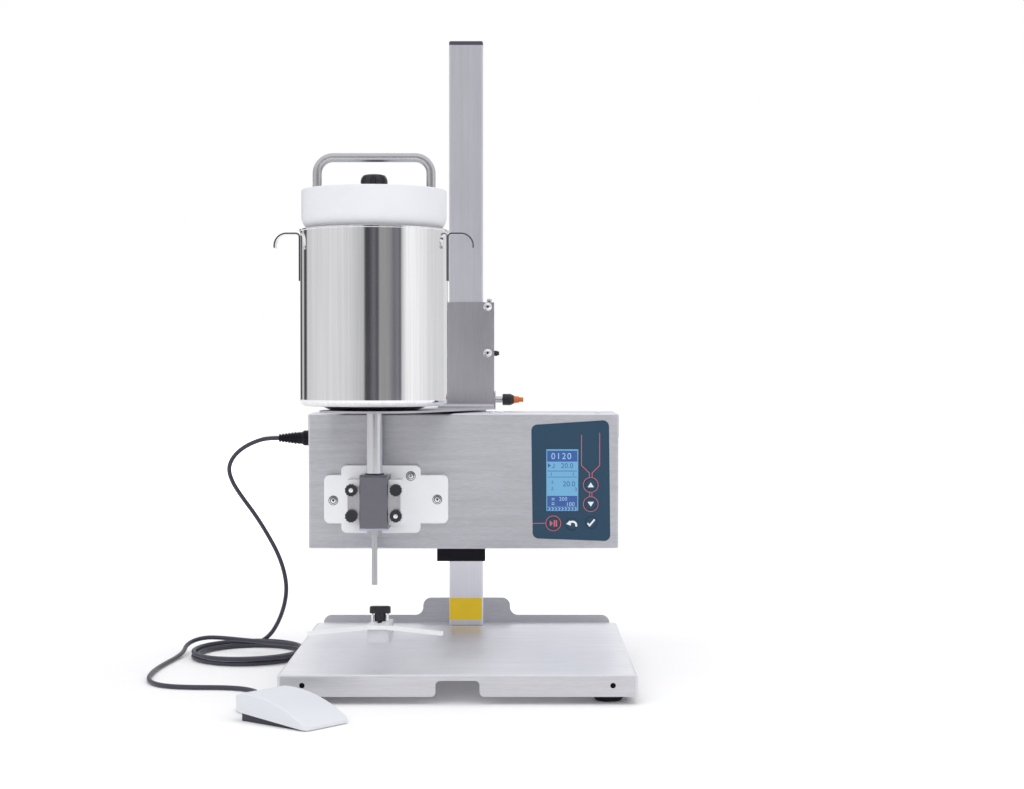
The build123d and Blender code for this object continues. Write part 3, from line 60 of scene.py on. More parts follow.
tray_low, tray_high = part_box("base_tray")
TRAY_FRONT = Vector(((tray_low[0] + tray_high[0]) / 2, tray_low[1], 0))


def place(x, y, z):
    """A place on the machine, in metres in the frame."""
    return TRAY_FRONT + Vector((x, y, z)) / 1000


# Camera

IMAGE_WIDTH = 1024
FOCAL_PIXELS = 1900
CAMERA_X = 68
CAMERA_DISTANCE = 2363
CAMERA_HEIGHT = 420
CAMERA_TILT = 0.8

camera_data = bpy.data.cameras.new("camera")
camera_data.sensor_width = 36
camera_data.lens = FOCAL_PIXELS / IMAGE_WIDTH * camera_data.sensor_width
camera_data.clip_end = 50
camera = bpy.data.objects.new("camera", camera_data)
camera.location = place(CAMERA_X, -CAMERA_DISTANCE, CAMERA_HEIGHT)
camera.rotation_euler = (radians(90 - CAMERA_TILT), 0, 0)
scene.collection.objects.link(camera)
scene.camera = camera


# Materials


class Shader:
    """A Principled material, with short ways to add the nodes that the materials share."""

    def __init__(self, name, colour, roughness, metallic=0.0, **values):
        self.material = bpy.data.materials.new(name)
        self.material.use_nodes = True
        self.tree = self.material.node_tree
        self.surface = self.tree.nodes["Principled BSDF"]
        self.colour = (*colour, 1)
        self.surface.inputs["Base Color"].default_value = self.colour
        self.surface.inputs["Roughness"].default_value = roughness
        self.surface.inputs["Metallic"].default_value = metallic
        for socket, value in values.items():
            self.surface.inputs[socket.replace("_", " ")].default_value = value
        self.coordinates = self.add("ShaderNodeTexCoord").outputs["Object"]
        self.bump_normal = None

    def add(self, kind, **settings):
        node = self.tree.nodes.new(kind)
        for setting, value in settings.items():
            setattr(node, setting, value)
        return node

    def link(self, source, target):
        self.tree.links.new(source, target)

    def stretched(self, scale):
        """The coordinates with a scale of their own along each axis."""
        mapping = self.add("ShaderNodeMapping")
        mapping.inputs["Scale"].default_value = scale
        self.link(self.coordinates, mapping.inputs["Vector"])
        return mapping.outputs["Vector"]

    def noise(self, scale, detail=4, roughness=0.6, stretch=None):
        """A noise from 0 to 1, with a scale of its own along each axis where stretch is given."""
        node = self.add("ShaderNodeTexNoise")
        node.inputs["Scale"].default_value = scale
        node.inputs["Detail"].default_value = detail
        node.inputs["Roughness"].default_value = roughness
        vector = self.coordinates if stretch is None else self.stretched(stretch)
        self.link(vector, node.inputs["Vector"])
        return node.outputs["Fac"]

    def ramp(self, factor, low, high, start=0.3, end=0.7):
        """Low where the factor is at start, high where it is at end, and even steps between."""
        node = self.add("ShaderNodeMapRange")
        node.inputs["From Min"].default_value = start
        node.inputs["From Max"].default_value = end
        node.inputs["To Min"].default_value = low
        node.inputs["To Max"].default_value = high
        self.link(factor, node.inputs["Value"])
        return node.outputs["Result"]

    def combine(self, first, second, operation="MULTIPLY"):
        """Works out one value from two, or from a value and a number."""
        node = self.add("ShaderNodeMath", operation=operation)
        self.link(first, node.inputs[0])
        if isinstance(second, (int, float)):
            node.inputs[1].default_value = second
        else:
            self.link(second, node.inputs[1])
        return node.outputs["Value"]

    def shade(self, factor):
        """Multiplies the base colour by a factor that varies over the surface."""
        node = self.add("ShaderNodeMix", data_type="RGBA", blend_type="MULTIPLY")
        node.inputs["Factor"].default_value = 1
        grey = self.add("ShaderNodeCombineColor")
        for channel in ("Red", "Green", "Blue"):
            self.link(factor, grey.inputs[channel])
        source = self.surface.inputs["Base Color"]
        if source.is_linked:
            self.link(source.links[0].from_socket, node.inputs["A"])
        else:
            node.inputs["A"].default_value = self.colour
        self.link(grey.outputs["Color"], node.inputs["B"])
        self.link(node.outputs["Result"], source)

    def rough(self, factor):
        self.link(factor, self.surface.inputs["Roughness"])

    def smear(self, amount, axis, rotation):
        """Stretches reflections, along the line round an axis of the frame (0) or across it (0.25)."""
        tangent = self.add("ShaderNodeTangent", direction_type="RADIAL", axis=axis)
        self.link(tangent.outputs["Tangent"], self.surface.inputs["Tangent"])
        self.surface.inputs["Anisotropic"].default_value = amount
        self.surface.inputs["Anisotropic Rotation"].default_value = rotation

    def facing(self):
        """1 on faces that look up, 0 on vertical ones and -1 on undersides."""
        parts = self.add("ShaderNodeSeparateXYZ")
        self.link(self.add("ShaderNodeTexCoord").outputs["Normal"], parts.inputs["Vector"])
        return parts.outputs["Z"]

    def bump(self, height, strength, distance):
        """Adds fine relief on top of the relief that is there."""
        node = self.add("ShaderNodeBump")
        node.inputs["Strength"].default_value = strength
        node.inputs["Distance"].default_value = distance
        self.link(height, node.inputs["Height"])
        if self.bump_normal:
            self.link(self.bump_normal, node.inputs["Normal"])
        self.bump_normal = node.outputs["Normal"]
        self.link(self.bump_normal, self.surface.inputs["Normal"])


SMEAR = 0.85
# Ranges of the normal's height over which the painted shade of vertical faces and of undersides fades out.
UPRIGHT_TO_LEVEL = (0.2, 0.6)
UNDERSIDE_TO_UPRIGHT = (-0.8, -0.4)


def brushed(name, colour, roughness, grain, contrast=0.05, smear=None, upright_shade=None, underside_shade=None):
    """Brushed steel: long fine lines, a coarser streak, and faint handling marks.

    smear is the axis and turn of its stretched reflections. The shares after it are painted shade: they
    darken the colour on vertical faces and on undersides, for the dimmer reflections and shadow that these
    faces get.
    """
    shader = Shader(name, colour, roughness, metallic=1.0)
    lines = shader.noise(1, detail=3, roughness=0.7, stretch=grain)
    streaks = shader.noise(1, detail=2, stretch=tuple(0.15 * value for value in grain))
    marks = shader.noise(9, detail=5)
    shader.shade(shader.ramp(lines, 1 - contrast, 1 + contrast))
    shader.shade(shader.ramp(streaks, 1 - contrast / 2, 1 + contrast / 2))
    worn = shader.ramp(marks, roughness - 0.04, roughness + 0.05)
    fine = shader.ramp(lines, -0.05, 0.05)
    shader.rough(shader.combine(worn, fine, "ADD"))
    shader.bump(lines, 0.25, 0.00012)
    shader.bump(marks, 0.05, 0.0004)
    if smear is not None:
        shader.smear(SMEAR, *smear)
    # Painted shade: vertical faces darker than level ones, for their dimmer reflections.
    if upright_shade is not None:
        levelness = shader.combine(shader.facing(), 0, "ABSOLUTE")
        shader.shade(shader.ramp(levelness, upright_shade, 1.0, *UPRIGHT_TO_LEVEL))
    # Painted shade: undersides darkened, for the shadow they lie in.
    if underside_shade is not None:
        shader.shade(shader.ramp(shader.facing(), underside_shade, 1.0, *UNDERSIDE_TO_UPRIGHT))
    return shader.material


def plastic(name, colour, roughness, grain=900, depth=0.08, spread=0.04, **values):
    """Moulded or machined plastic: fine surface grain, slight mottling and uneven gloss."""
    shader = Shader(name, colour, roughness, **values)
    fine = shader.noise(grain, detail=2)
    broad = shader.noise(14, detail=4)
    shader.shade(shader.ramp(broad, 1 - spread, 1.0))
    shader.rough(shader.ramp(broad, roughness - 0.05, roughness + 0.08))
    shader.bump(fine, depth, 0.00008)
    return shader.material


# The shares on vertical faces and undersides given below are painted shade, not a finish of the steel.
head_steel = brushed("head_steel", (0.86, 0.86, 0.915), 0.42, (70, 1100, 1100), contrast=0.11,
                     smear=("Z", 0.25), upright_shade=0.73)
tray_steel = brushed("tray_steel", (0.87, 0.87, 0.905), 0.42, (40, 900, 900), contrast=0.07,
                     smear=("X", 0), upright_shade=0.84)
column_steel = brushed("column_steel", (0.84, 0.84, 0.90), 0.52, (900, 900, 12), smear=("Z", 0))
bracket_steel = brushed("bracket_steel", (0.56, 0.55, 0.59), 0.38, (700, 700, 40),
                        smear=("Z", 0), underside_shade=0.12)
pump_steel = brushed("pump_steel", (0.80, 0.79, 0.91), 0.38, (500, 500, 500), upright_shade=0.25)
bright_steel = brushed("bright_steel", (0.62, 0.62, 0.64), 0.20, (600, 600, 60))
satin_steel = brushed("satin_steel", (0.45, 0.45, 0.47), 0.30, (600, 600, 60))
tube_steel = brushed("tube_steel", (0.59, 0.59, 0.615), 0.14, (300, 300, 30), contrast=0.03)
handle_steel = brushed("handle_steel", (0.52, 0.52, 0.535), 0.32, (300, 900, 900))

POT_PLACE = (-121, 246)

# The inside ends at this radius and height, in the frame's metres, and turns into the outside over an edge.
POT_INSIDE = 0.1002
WALL_EDGE = 0.0002
POT_FLOOR = 0.3682
FLOOR_EDGE = 0.0005
SATIN_ROUGHNESS = 0.34
SATIN_METALLIC = 0.55


def pot_outside(shader):
    """1 on the pot's outer wall and underside and on its handles, 0 inside the pot."""
    from_axis = shader.add("ShaderNodeVectorMath", operation="SUBTRACT")
    shader.link(shader.coordinates, from_axis.inputs[0])
    from_axis.inputs[1].default_value = place(*POT_PLACE, 0)
    level_part = shader.add("ShaderNodeVectorMath", operation="MULTIPLY")
    shader.link(from_axis.outputs["Vector"], level_part.inputs[0])
    level_part.inputs[1].default_value = (1, 1, 0)
    radius = shader.add("ShaderNodeVectorMath", operation="LENGTH")
    shader.link(level_part.outputs["Vector"], radius.inputs[0])
    beyond_wall = shader.ramp(radius.outputs["Value"], 0, 1, POT_INSIDE, POT_INSIDE + WALL_EDGE)
    parts = shader.add("ShaderNodeSeparateXYZ")
    shader.link(shader.coordinates, parts.inputs["Vector"])
    below_floor = shader.ramp(parts.outputs["Z"], 1, 0, POT_FLOOR, POT_FLOOR + FLOOR_EDGE)
    return shader.combine(beyond_wall, below_floor, "MAXIMUM")


def polished_steel():
    """Mirror polish with faint vertical polishing lines and cloudy wipe marks, and a satin inside."""
    shader = Shader("polished_steel", (0.88, 0.88, 0.89), 0.05, metallic=1.0)
    lines = shader.noise(1, detail=2, stretch=(260, 260, 3))
    clouds = shader.noise(7, detail=5)
    shader.shade(shader.ramp(clouds, 0.97, 1.0))
    shader.shade(shader.ramp(lines, 0.90, 1.02))
    shader.bump(lines, 0.07, 0.00006)
    polish = pot_outside(shader)
    satin = shader.ramp(polish, SATIN_ROUGHNESS, 0, 0, 1)
    shader.rough(shader.combine(satin, shader.ramp(clouds, 0.04, 0.09), "ADD"))
    shader.link(shader.ramp(polish, SATIN_METALLIC, 1, 0, 1), shader.surface.inputs["Metallic"])
    return shader.material


polished = polished_steel()
white_plastic = plastic("white_plastic", (0.77, 0.78, 0.81), 0.42)
# Painted light: a lighter copy of the white plastic for the pump's back plate, lifting it where the pot and
# its shelf shade it.
plate_plastic_painted_light = plastic("plate_plastic_painted_light", (0.90, 0.905, 0.92), 0.38)
# Painted light: a still lighter copy of the white plastic for the guide's fence and ears, standing in for
# the light the plastic lets through and lifting it in the shade beneath the head.
fence_plastic_painted_light = plastic("fence_plastic_painted_light", (0.97, 0.975, 0.985), 0.36)
shell_plastic = plastic("pedal_shell", (0.70, 0.72, 0.755), 0.46, spread=0.03)
black_plastic = plastic("black_plastic", (0.004, 0.004, 0.009), 0.42, Specular_IOR_Level=0.2)
base_plastic = plastic("base_plastic", (0.030, 0.028, 0.045), 0.5)
cap_plastic = plastic("cap_plastic", (0.056, 0.053, 0.080), 0.5)
knob_plastic = plastic("knob_plastic", (0.014, 0.014, 0.02), 0.36)
orange_plastic = plastic("orange_plastic", (0.72, 0.17, 0.03), 0.4)
seal_rubber = plastic("seal_rubber", (0.62, 0.62, 0.62), 0.6)
foot_rubber = plastic("foot_rubber", (0.010, 0.010, 0.016), 0.6, depth=0.2, Specular_IOR_Level=0.3)
sheath = plastic("cable_sheath", (0.040, 0.039, 0.060), 0.38, grain=700, depth=0.12, spread=0.15)
motor_paint = plastic("motor_paint", (0.05, 0.05, 0.055), 0.5)
board_green = plastic("circuit_board", (0.02, 0.13, 0.06), 0.4)
panel_film = plastic("panel_film", (0.007, 0.046, 0.094), 0.44, grain=1400, depth=0.05, spread=0.06)
ring_steel = brushed("ring_steel", (0.84, 0.84, 0.86), 0.24, (400, 400, 400), contrast=0.04)
# Painted shade: a near-black put in screw pockets and grooves, where the steel lies in shade.
pocket_painted_shade = plastic("pocket_painted_shade", (0.05, 0.05, 0.055), 0.5)
coral_ink = plastic("coral_ink", (0.62, 0.13, 0.16), 0.4, grain=1600, depth=0.04)
white_ink = plastic("white_ink", (0.80, 0.84, 0.88), 0.4, grain=1600, depth=0.04)
field_ink = plastic("field_ink", (0.16, 0.42, 0.66), 0.3, grain=1600, depth=0.03)
band_ink = plastic("band_ink", (0.035, 0.10, 0.34), 0.3, grain=1600, depth=0.03)
mark_ink = plastic("mark_ink", (0.34, 0.60, 0.82), 0.3, grain=1600, depth=0.03)
patch_film = plastic("patch_film", (0.92, 0.63, 0.012), 0.5, grain=1200, depth=0.05, spread=0.06)

NODE_MATERIALS = {
    "base_tray": tray_steel,
    "column": column_steel,
    "column_cap": cap_plastic,
    "guide_block": white_plastic,
    "guide_fence": fence_plastic_painted_light,
    "guide_knob": knob_plastic,
    "pedal_base": base_plastic,
    "pedal_tread": shell_plastic,
    "pedal_pin": bright_steel,
    "pedal_switch": black_plastic,
    "head_shell": head_steel,
    "head_rear_cover": head_steel,
    "lower_slide_block": black_plastic,
    "upper_slide_block": black_plastic,
    "foot_socket": black_plastic,
    "cable_plug": black_plastic,
    "mains_inlet": black_plastic,
    "mains_switch": knob_plastic,
    "control_label": panel_film,
    "display_window": panel_film,
    "control_board": board_green,
    "gearmotor": motor_paint,
    "pump_back_plate": plate_plastic_painted_light,
    "pump_flange": satin_steel,
    "pump_body": pump_steel,
    "pump_cover": pump_steel,
    "drive_gear": white_plastic,
    "idler_gear": white_plastic,
    "nozzle": satin_steel,
    "nozzle_nut": satin_steel,
    "hopper_bracket": bracket_steel,
    "bracket_spacer": bright_steel,
    "plunger_sleeve": bright_steel,
    "plunger_grip": knob_plastic,
    "plunger_ring": orange_plastic,
    "pot": polished,
    "outlet_tube": tube_steel,
    "pot_handle_left": polished,
    "pot_handle_right": polished,
    "pusher_disc": white_plastic,
    "pusher_seal": seal_rubber,
    "pusher_handle": handle_steel,
    "vent_knob": knob_plastic,
    "key_up": panel_film,
    "key_down": panel_film,
    "key_start": panel_film,
    "key_back": panel_film,
    "key_confirm": panel_film,
}
for name, node in nodes.items():
    if name.startswith("foot_") and name.endswith(("left", "right")):
        material = foot_rubber
    elif name.startswith("thumb_knob"):
        material = knob_plastic
    else:
        material = NODE_MATERIALS.get(name, sheath)
    node.data.materials.clear()
    node.data.materials.append(material)


# Foot-switch cable

CABLE_DIAMETER = 6.2
PLUG_END = (-267.5, 375, 319)
COIL_CENTRE = (-314, 397)
COIL_RADII = (82, 95)
COIL_PITCH = 7.4
COIL_LAYER = 6.8
COIL_START = 107
COIL_REVERSE = 560
CLIMB_SWEEP = 180
COIL_END = 1045
COIL_STEP = 22.5
CABLE_FLOOR = CABLE_DIAMETER / 2 + 0.3
PEDAL = (-239.2, -75.3)
PEDAL_TURN = -39

pedal_route = [(-8, 0, 3.4), (6, 0, 3.4)]
drop_route = [
    (-286, 375, 319),
    (-305, 376.5, 313),
    (-322, 379.5, 304),
    (-336, 384, 291),
    (-343.5, 389, 274),
    (-338, 396, 253),
    (-324, 404, 230),
    (-307, 413, 205),
    (-291, 421, 177),
    (-277, 429, 149),
    (-268.5, 437, 122),
    (-265.5, 446, 96),
    (-269, 456, 73),
    (-276, 467, 52),
    (-285, 478.5, 34),
    (-295, 488, 19.5),
    (-307, 495, 9.5),
    (-320, 495, 4.9),
]
lead_route = [
    (-238.4, 356.4, 12.3),
    (-236.7, 368.3, 16.2),
    (-239.8, 379.9, 18.3),
    (-248.4, 390.9, 18.8),
    (-276, 407, 18.6),
    (-322, 429, 19.2),
    (-364, 451, 20),
    (-387, 458, 19.4),
    (-404.5, 452, 15.8),
    (-412.5, 434.5, 11),
    (-411, 406, 6),
    (-414, 366, 3.8),
    (-421, 310, 3.4),
    (-425, 250, 3.4),
    (-422, 190, 3.4),
    (-410, 145, 3.4),
    (-384, 118, 3.4),
    (-347, 110, 3.4),
    (-308, 110, 3.4),
    (-276, 98, 3.4),
    (-256, 68, 3.4),
    (-251, 30, 3.4),
    (-257, -8, 3.4),
    (-268, -32, 3.5),
    (-263, -55, 3.8),
]


def pedal_place(along, across, z):
    """A place on the pedal, from the middle of its rear end."""
    turn = radians(PEDAL_TURN)
    x = PEDAL[0] + along * cos(turn) - across * sin(turn)
    y = PEDAL[1] + along * sin(turn) + across * cos(turn)
    return place(x, y, z)


def coil_place(angle):
    """The coil's middle line: it spirals in, climbs a layer where it turns back, and spirals out."""
    turns = (COIL_REVERSE - abs(angle - COIL_REVERSE) - COIL_START) / 360
    climb = min(max((angle - COIL_REVERSE + CLIMB_SWEEP / 2) / CLIMB_SWEEP, 0), 1)
    height = CABLE_FLOOR + COIL_LAYER * climb * climb * (3 - 2 * climb)
    swell = 1 / cos(radians(COIL_STEP / 2))
    x = COIL_CENTRE[0] + swell * (COIL_RADII[0] - COIL_PITCH * turns) * cos(radians(angle))
    y = COIL_CENTRE[1] + swell * (COIL_RADII[1] - COIL_PITCH * turns) * sin(radians(angle))
    return place(x, y, height)


coil_sweep = COIL_END - COIL_START
coil_count = round(coil_sweep / COIL_STEP)
coil_points = [coil_place(COIL_START + coil_sweep * step / coil_count) for step in range(coil_count + 1)]
cable_points = [place(*point) for point in [PLUG_END] + drop_route] + coil_points
cable_points += [place(*point) for point in lead_route]
cable_points += [pedal_place(*point) for point in pedal_route]

cable_curve = bpy.data.curves.new("foot_cable", "CURVE")
cable_curve.dimensions = "3D"
cable_curve.bevel_resolution = 6
cable_curve.resolution_u = 8
cable_curve.use_fill_caps = True
spline = cable_curve.splines.new("NURBS")
spline.points.add(len(cable_points) - 1)
for point, position in zip(spline.points, cable_points):
    point.co = (*position, 1)
spline.order_u = 3
spline.use_endpoint_u = True
cable_route = bpy.data.objects.new("cable_route", cable_curve)
scene.collection.objects.link(cable_route)


def cable_mesh(radius):
    """The cable's middle line (radius 0) or its tube, from the same smooth spline."""
    cable_curve.bevel_depth = radius
    bpy.context.view_layer.update()
    evaluated = cable_route.evaluated_get(bpy.context.evaluated_depsgraph_get())
    return bpy.data.meshes.new_from_object(evaluated)


cable_line = cable_mesh(0)
foot_cable = bpy.data.objects.new("foot_cable", cable_mesh(CABLE_DIAMETER / 2000))
bpy.data.objects.remove(cable_route)
scene.collection.objects.link(foot_cable)
foot_cable.data.shade_smooth()
foot_cable.data.materials.clear()
foot_cable.data.materials.append(sheath)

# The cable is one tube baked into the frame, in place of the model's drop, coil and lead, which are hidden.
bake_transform(foot_cable)
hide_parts("foot_cable_drop", "foot_cable_coil", "foot_cable_lead")


# Turned and flat pieces

CROSS = [(0.5, 0.5), (0.5, 2), (-0.5, 2), (-0.5, 0.5), (-2, 0.5), (-2, -0.5)]
CROSS += [(-x, -y) for x, y in CROSS]
HEXAGON = [(1.9 * cos(radians(60 * corner)), 1.9 * sin(radians(60 * corner))) for corner in range(6)]
POCKET_TAPER = 0.8
SHARP_ANGLE = 35
DIGIT_SHARE = 0.7
INK_THICKNESS = 0.12


def stand(origin, out):
    """Takes millimetres on a face (right, up, out) to the frame's metres."""
    out = Vector(out)
    up = Vector((0, 1, 0)) if out.z else Vector((0, 0, 1))
    right = up.cross(out)
    turn = Matrix((right, out.cross(right), out)).transposed().to_4x4()
    return Matrix.Translation(place(*origin)) @ turn @ Matrix.Scale(0.001, 4)


def around(points):
    """Each point of a closed outline with the next one."""
    return list(zip(points, points[1:] + points[:1]))


def turned(profile, pocket=(), depth=0, segments=32, grooves=()):
    """A solid of revolution from (radius, height) pairs, with a driver's pocket in its top.

    The pocket takes the second material, and so do the grooves, which are steps of the profile.
    """
    solid = bmesh.new()
    rings = []
    for radius, height in profile:
        ring = []
        for step in range(segments if radius else 1):
            angle = 2 * pi * step / segments
            ring.append(solid.verts.new((radius * cos(angle), radius * sin(angle), height)))
        rings.append(ring)
    for index, (low, high) in enumerate(zip(rings, rings[1:])):
        for step in range(segments):
            after = step + 1
            corners = (low[step % len(low)], low[after % len(low)],
                       high[after % len(high)], high[step % len(high)])
            solid.faces.new(dict.fromkeys(corners)).material_index = int(index in grooves)
    if len(rings[0]) > 1:
        solid.faces.new(rings[0])
    if pocket:
        top = profile[-1][1]
        rim = [solid.verts.new((x, y, top)) for x, y in pocket]
        floor = [solid.verts.new((POCKET_TAPER * x, POCKET_TAPER * y, top - depth)) for x, y in pocket]
        edges = [solid.edges.new(pair) for pair in around(rim)]
        edges += [solid.edges.get(pair) for pair in around(rings[-1])]
        bmesh.ops.triangle_fill(solid, use_beauty=True, edges=edges)
        for (first, second), (low_first, low_second) in zip(around(rim), around(floor)):
            solid.faces.new((first, second, low_second, low_first)).material_index = 1
        solid.faces.new(floor).material_index = 1
    elif len(rings[-1]) > 1:
        solid.faces.new(rings[-1])
    return solid


def add_piece(name, solid, matrix, body, slot, *materials):
    """Puts a finished shape on the body that it moves with."""
    bmesh.ops.recalc_face_normals(solid, faces=solid.faces)
    mesh = bpy.data.meshes.new(name)
    solid.to_mesh(mesh)
    solid.free()
    mesh.transform(matrix)
    mesh.shade_smooth()
    mesh.set_sharp_from_angle(angle=radians(SHARP_ANGLE))
    for material in materials:
        mesh.materials.append(material)
    piece = bpy.data.objects.new(name, mesh)
    scene.collection.objects.link(piece)
    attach(piece, body)


def join_curve(solid, curve):
    """Adds a filled curve or a text to a mesh."""
    source = bpy.data.objects.new("outline", curve)
    scene.collection.objects.link(source)
    evaluated = source.evaluated_get(bpy.context.evaluated_depsgraph_get())
    mesh = bpy.data.meshes.new_from_object(evaluated)
    solid.from_mesh(mesh)
    bpy.data.objects.remove(source)
    bpy.data.meshes.remove(mesh)


def printed(shapes, texts=(), ink=INK_THICKNESS):
    """Flat marks of the ink's thickness.

    Each shape is a list of closed outlines, where a second outline is a hole in the first. Each text is a
    number with its left, its foot, its height and the spread of its digits.
    """
    solid = bmesh.new()
    for shape in shapes:
        curve = bpy.data.curves.new("outline", "CURVE")
        curve.dimensions = "2D"
        curve.fill_mode = "BOTH"
        curve.extrude = ink / 2
        for outline in shape:
            spline = curve.splines.new("POLY")
            spline.points.add(len(outline) - 1)
            spline.use_cyclic_u = True
            for point, (x, y) in zip(spline.points, outline):
                point.co = (x, y, 0, 1)
        join_curve(solid, curve)
    for number, left, foot, height, spread in texts:
        curve = bpy.data.curves.new("number", "FONT")
        curve.body = number
        curve.size = height / DIGIT_SHARE
        curve.extrude = ink / 2
        curve.space_character = spread
        before = set(solid.verts)
        join_curve(solid, curve)
        added = [vert for vert in solid.verts if vert not in before]
        bmesh.ops.translate(solid, vec=(left, foot, 0), verts=added)
    return solid


def bar(left, low, right, high):
    """A rectangle."""
    return [(left, low), (right, low), (right, high), (left, high)]


def circle(x, y, radius, count=48):
    """A circle as an outline of short steps."""
    angles = [2 * pi * step / count for step in range(count)]
    return [(x + radius * cos(angle), y + radius * sin(angle)) for angle in angles]


def rounded(left, low, right, high, radius, count=6):
    """A rectangle with round corners."""
    centres = [
        (right - radius, high - radius),
        (left + radius, high - radius),
        (left + radius, low + radius),
        (right - radius, low + radius),
    ]
    outline = []
    for quarter, (x, y) in enumerate(centres):
        for step in range(count + 1):
            angle = radians(90 * (quarter + step / count))
            outline.append((x + radius * cos(angle), y + radius * sin(angle)))
    return outline


def stroke(points, width):
    """The outline of a line of even width through some points."""
    points = [Vector(point) for point in points]
    ways = [(after - before).normalized() for before, after in zip(points, points[1:])]
    left, right = [], []
    for point, way_in, way_out in zip(points, ways[:1] + ways, ways + ways[-1:]):
        middle = (way_in + way_out).normalized()
        aside = Vector((-middle.y, middle.x)) * width / 2 / middle.dot(way_in)
        left.append(point + aside)
        right.append(point - aside)
    return [tuple(point) for point in left + right[::-1]]


# Screws

SUNK_HEAD = [(6.8, 0), (6.8, 0.2), (5.9, 0.2), (5.8, 0.7), (4.8, 0.8),
             (4.5, 0.2), (3.7, 0.2), (3.6, 0.9), (3.3, 1.0)]
# Steps of the sunk head that take the pockets' painted shade.
SUNK_GROOVES = (0, 1, 4, 5, 6)
RING_HEAD = [(6.2, 0), (6.2, 0.6), (5.9, 0.9), (2.9, 1.9), (2.6, 2.0)]
PAN_HEAD = [(3.9, 0), (3.9, 0.9), (3.5, 1.7), (2.7, 2.2), (2.4, 2.3)]
HEX_HEAD = [(7.5, 0), (7.5, 1.2), (6.4, 1.3), (6.4, 4.8), (5.6, 5.3), (0, 5.3)]
SET_SCREW = [(4, 0), (4, 4.4), (3.1, 4.8), (3.1, 6.8), (2.5, 7.4), (0, 7.4)]
STUD = [(3, 0), (3, 8.5), (3.9, 9), (3.9, 10.6), (3.2, 12), (1.8, 12.7), (0, 12.9)]
STUD_END = [(3, 0), (3, 0.3), (2.5, 0.7), (1.6, 0.8), (1.2, 0.5), (0, 0.5)]
FRONT, BACK, RIGHT, ABOVE = (0, -1, 0), (0, 1, 0), (1, 0, 0), (0, 0, 1)

HEAD_FRONT = 301
HEAD_BACK = 446
HEAD_BOTTOM = 166
HEAD_TOP = 356
PLATE_FACE = 293
BRACKET_FACE = 445
COLUMN_FACE = 450
COLUMN_MIDDLE = 465
TAB_BACK = 482
TOP_SCREW_SETBACK = 22
COVER_SCREW_SETBACK = 12
TAB_BOLT_HEIGHT = 62
SUNK_POCKET = 0.7
HEXAGON_POCKET = 1.4
CROSS_POCKET = 1.2

PLATE_SCREWS = [
    ("left", -182, 234.7, HEXAGON),
    ("right", -36.5, 236.1, HEXAGON),
    ("top", -73.7, 268.9, CROSS),
]
BRACKET_SCREW_X = 32
BRACKET_SCREWS = [("upper", 510.3), ("lower", 442)]
TOP_SCREWS = [("left", 40), ("middle", 53), ("right", 190)]
COVER_SCREWS = [("left", -206), ("middle", -70), ("right", 206)]
COVER_ROWS = [("lower", HEAD_BOTTOM + COVER_SCREW_SETBACK), ("upper", HEAD_TOP - COVER_SCREW_SETBACK)]


def head_screw(name, origin, out, profile, pocket, depth, grooves=()):
    """A steel screw on the head, with painted shade in the pocket for its driver and in the grooves of a
    sunk head.
    """
    solid = turned(profile, pocket, depth, grooves=grooves)
    add_piece(name, solid, stand(origin, out), "head", "steel", ring_steel, pocket_painted_shade)


for side, x, z, pocket in PLATE_SCREWS:
    origin = (x, PLATE_FACE, z)
    head_screw(f"plate_screw_{side}", origin, FRONT, SUNK_HEAD, pocket, SUNK_POCKET, SUNK_GROOVES)
for level, z in BRACKET_SCREWS:
    origin = (BRACKET_SCREW_X, BRACKET_FACE, z)
    head_screw(f"bracket_screw_{level}", origin, FRONT, RING_HEAD, HEXAGON, HEXAGON_POCKET)
for side, x in TOP_SCREWS:
    origin = (x, HEAD_FRONT + TOP_SCREW_SETBACK, HEAD_TOP)
    head_screw(f"top_screw_{side}", origin, ABOVE, PAN_HEAD, CROSS, CROSS_POCKET)
for side, x in COVER_SCREWS:
    for level, z in COVER_ROWS:
        origin = (x, HEAD_BACK, z)
        head_screw(f"cover_screw_{level}_{side}", origin, BACK, PAN_HEAD, CROSS, CROSS_POCKET)
for side, x in (("left", -44), ("right", 44)):
    bolt_place = stand((x, TAB_BACK, TAB_BOLT_HEIGHT), BACK)
    add_piece(f"tab_bolt_{side}", turned(HEX_HEAD, segments=6), bolt_place, "base", "steel", ring_steel)

set_screw_place = stand((41.5, COLUMN_MIDDLE, 441.8), RIGHT)
add_piece("bracket_set_screw", turned(SET_SCREW), set_screw_place, "head", "black_plastic", knob_plastic)
add_piece("bracket_stud", turned(STUD), stand((34.4, 456, 510), ABOVE), "head", "steel", bright_steel)

# Pump details

PUMP_TOP = 273.5
STUD_FACE = 222
SEAL_RING = [(13, 0), (13.4, 0.5), (13.4, 1.3), (12.8, 1.8), (11.4, 1.8)]

for knob, x, z in (("upper_left", -151.4, 253.25), ("lower_right", -90.6, 217.75)):
    end_place = stand((x, STUD_FACE, z), FRONT)
    add_piece(f"stud_end_{knob}", turned(STUD_END), end_place, f"knob_{knob}", "steel", ring_steel)
seal_place = stand((*POT_PLACE, PUMP_TOP), ABOVE)
add_piece("tube_seal", turned(SEAL_RING), seal_place, "head", "seal_rubber", knob_plastic)

# Ears of the product guide, on the fence's tail beside the clamp

EAR_FOOT = 61.1
EAR_THICKNESS = 2.2
CLAMP_Y = 328

for side, ear_x in (("left", -129.9), ("right", -108.1)):
    ear = printed([[rounded(-8, 0, 8, 10.6, 3)]], ink=EAR_THICKNESS)
    ear_place = stand((ear_x, CLAMP_Y, EAR_FOOT), RIGHT)
    add_piece(f"guide_ear_{side}", ear, ear_place, "fence", "white_plastic", fence_plastic_painted_light)

# Label and display

